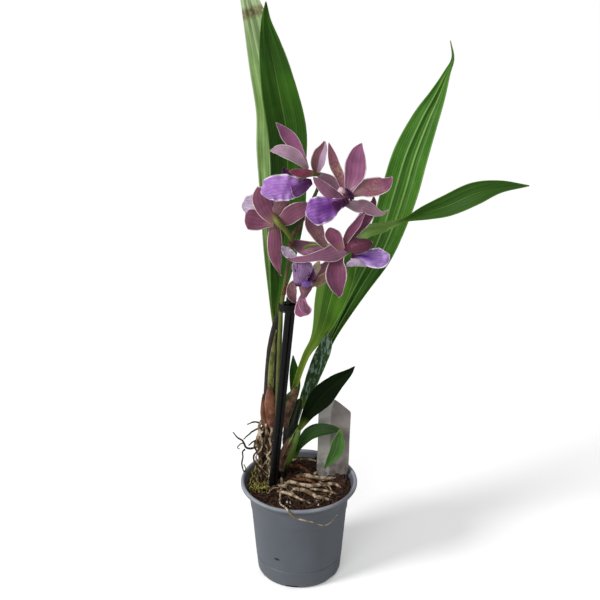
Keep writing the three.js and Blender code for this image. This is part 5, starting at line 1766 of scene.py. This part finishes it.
                "on": "petal_left", "path": [[-9, 2, 17], [-14, 4, 22], [-19, 6, 26], [-23, 6, 31]],
                "widths": [5, 9, 9, 2], "finish": ("lipBack", "mauveBack"), "ruffle": (0.8, 4.0)},
        },
        "column": {
            "path": [[-14, 17, -17], [-10, 12, -11], [-5, 6, -4], [1, 1, 0], [6, -6, 6], [9, -9, 13]],
            "radii": [1.7, 1.9, 2.2, 2.6, 2.4, 1.4],
        },
    },
}
tepalShape = {"face": towardsViewer, "thickness": 0.6, "fold": 0.08, "curl": [0.9, 0.55, 0.35, 0.2],
              "uneven": 0.35, "keel": 0.2, "ruffle": (0.3, 2.0)}
lipShape = {"face": towardsViewer, "thickness": 0.6, "fold": -0.05, "curl": [-0.9, -0.5, -0.35, -0.6],
            "uneven": 0.5, "ruffle": (2.1, 5.0), "tipRound": 0.24, "crowd": 1.0}
lipGrid, tepalGrid = (60, 36), (44, 20)


def moved(spec, centre):
    return {**spec, "path": (np.array(spec["path"], float) + centre).tolist()}


def makeFlower(title, flower, salt):
    centre = np.array(flower["centre"], float)
    for k, (part, blade) in enumerate(flower["blades"].items()):
        owner = blade.get("on", part)
        inner = owner in ("lip", "column")
        spec = {**(lipShape if inner else tepalShape), "seed": salt + k, **moved(blade, centre)}
        shape = newShape()
        addSheet(shape, spec, *(lipGrid if part == "lip" else tepalGrid))
        word = "".join(piece.capitalize() for piece in part.split("_"))
        piece = makeObject(shape, title + word, [finish[kind] for kind in spec["finish"]])
        ridePiece(piece, owner if inner else "tepal", flower["node"] + "_" + owner)
    shape = newShape()
    addTube(shape, {"lumps": 0.05, "seed": salt, **moved(flower["column"], centre)}, 50, 18)
    material = finish[flower["column"].get("finish", "column")]
    ridePiece(makeObject(shape, title + "Column", [material]), "column", flower["node"] + "_column")


for k, (title, flower) in enumerate(flowers.items()):
    makeFlower(title, flower, 200 + 20 * k)
print("flowers made")


# Floor, lights, camera

studio = {
    "floorSize": 9,
    "worldGlow": 0.3,
    "sun": {"strength": 1.75, "angle": 17, "towards": (0.765, 0.407, -0.5)},
    "softbox": {"place": (-0.5, -1.5, 1.6), "target": (0.0, 0.0, 0.35), "size": 0.9, "power": 7},
}
bpy.ops.mesh.primitive_plane_add(size=studio["floorSize"])
floor = bpy.context.active_object
floor.name = "floor"
floor.data.materials.append(finish["floor"])

scene = bpy.context.scene
world = bpy.data.worlds.new("studio")
scene.world = world
world.use_nodes = True
worldTree = world.node_tree
seen = node(worldTree, "ShaderNodeLightPath")
background = worldTree.nodes["Background"]
shown = ramp(worldTree, seen.outputs["Is Camera Ray"], 0.0, 1.0, studio["worldGlow"], 1.0)
join(worldTree, shown, background.inputs["Strength"])
background.inputs["Color"].default_value = (1.0, 1.0, 1.0, 1.0)
scene.view_settings.view_transform = "Standard"


def unitRotation(towards):
    return Vector(towards).to_track_quat("-Z", "Y").to_euler()


def addSun(strength, angle, towards):
    light = bpy.data.lights.new("sun", "SUN")
    light.energy = strength
    light.angle = math.radians(angle)
    obj = bpy.data.objects.new("sun", light)
    scene.collection.objects.link(obj)
    obj.rotation_euler = unitRotation(towards)


def addSoftbox(place, target, size, power):
    light = bpy.data.lights.new("softbox", "AREA")
    light.shape = "DISK"
    light.size = size
    light.energy = power
    obj = bpy.data.objects.new("softbox", light)
    scene.collection.objects.link(obj)
    obj.location = place
    obj.rotation_euler = unitRotation([t - p for t, p in zip(target, place)])


addSun(**studio["sun"])
addSoftbox(**studio["softbox"])

viewpoint = {"lens": 92.46, "sensor": 36, "place": (0.001, -1.349, 0.968), "tilt": 64.1}
camera = bpy.data.cameras.new("view")
camera.lens = viewpoint["lens"]
camera.sensor_width = viewpoint["sensor"]
cameraObject = bpy.data.objects.new("view", camera)
scene.collection.objects.link(cameraObject)
cameraObject.location = viewpoint["place"]
cameraObject.rotation_euler = (math.radians(viewpoint["tilt"]), 0, 0)
scene.camera = cameraObject

bpy.context.view_layer.update()
print("scene ready")
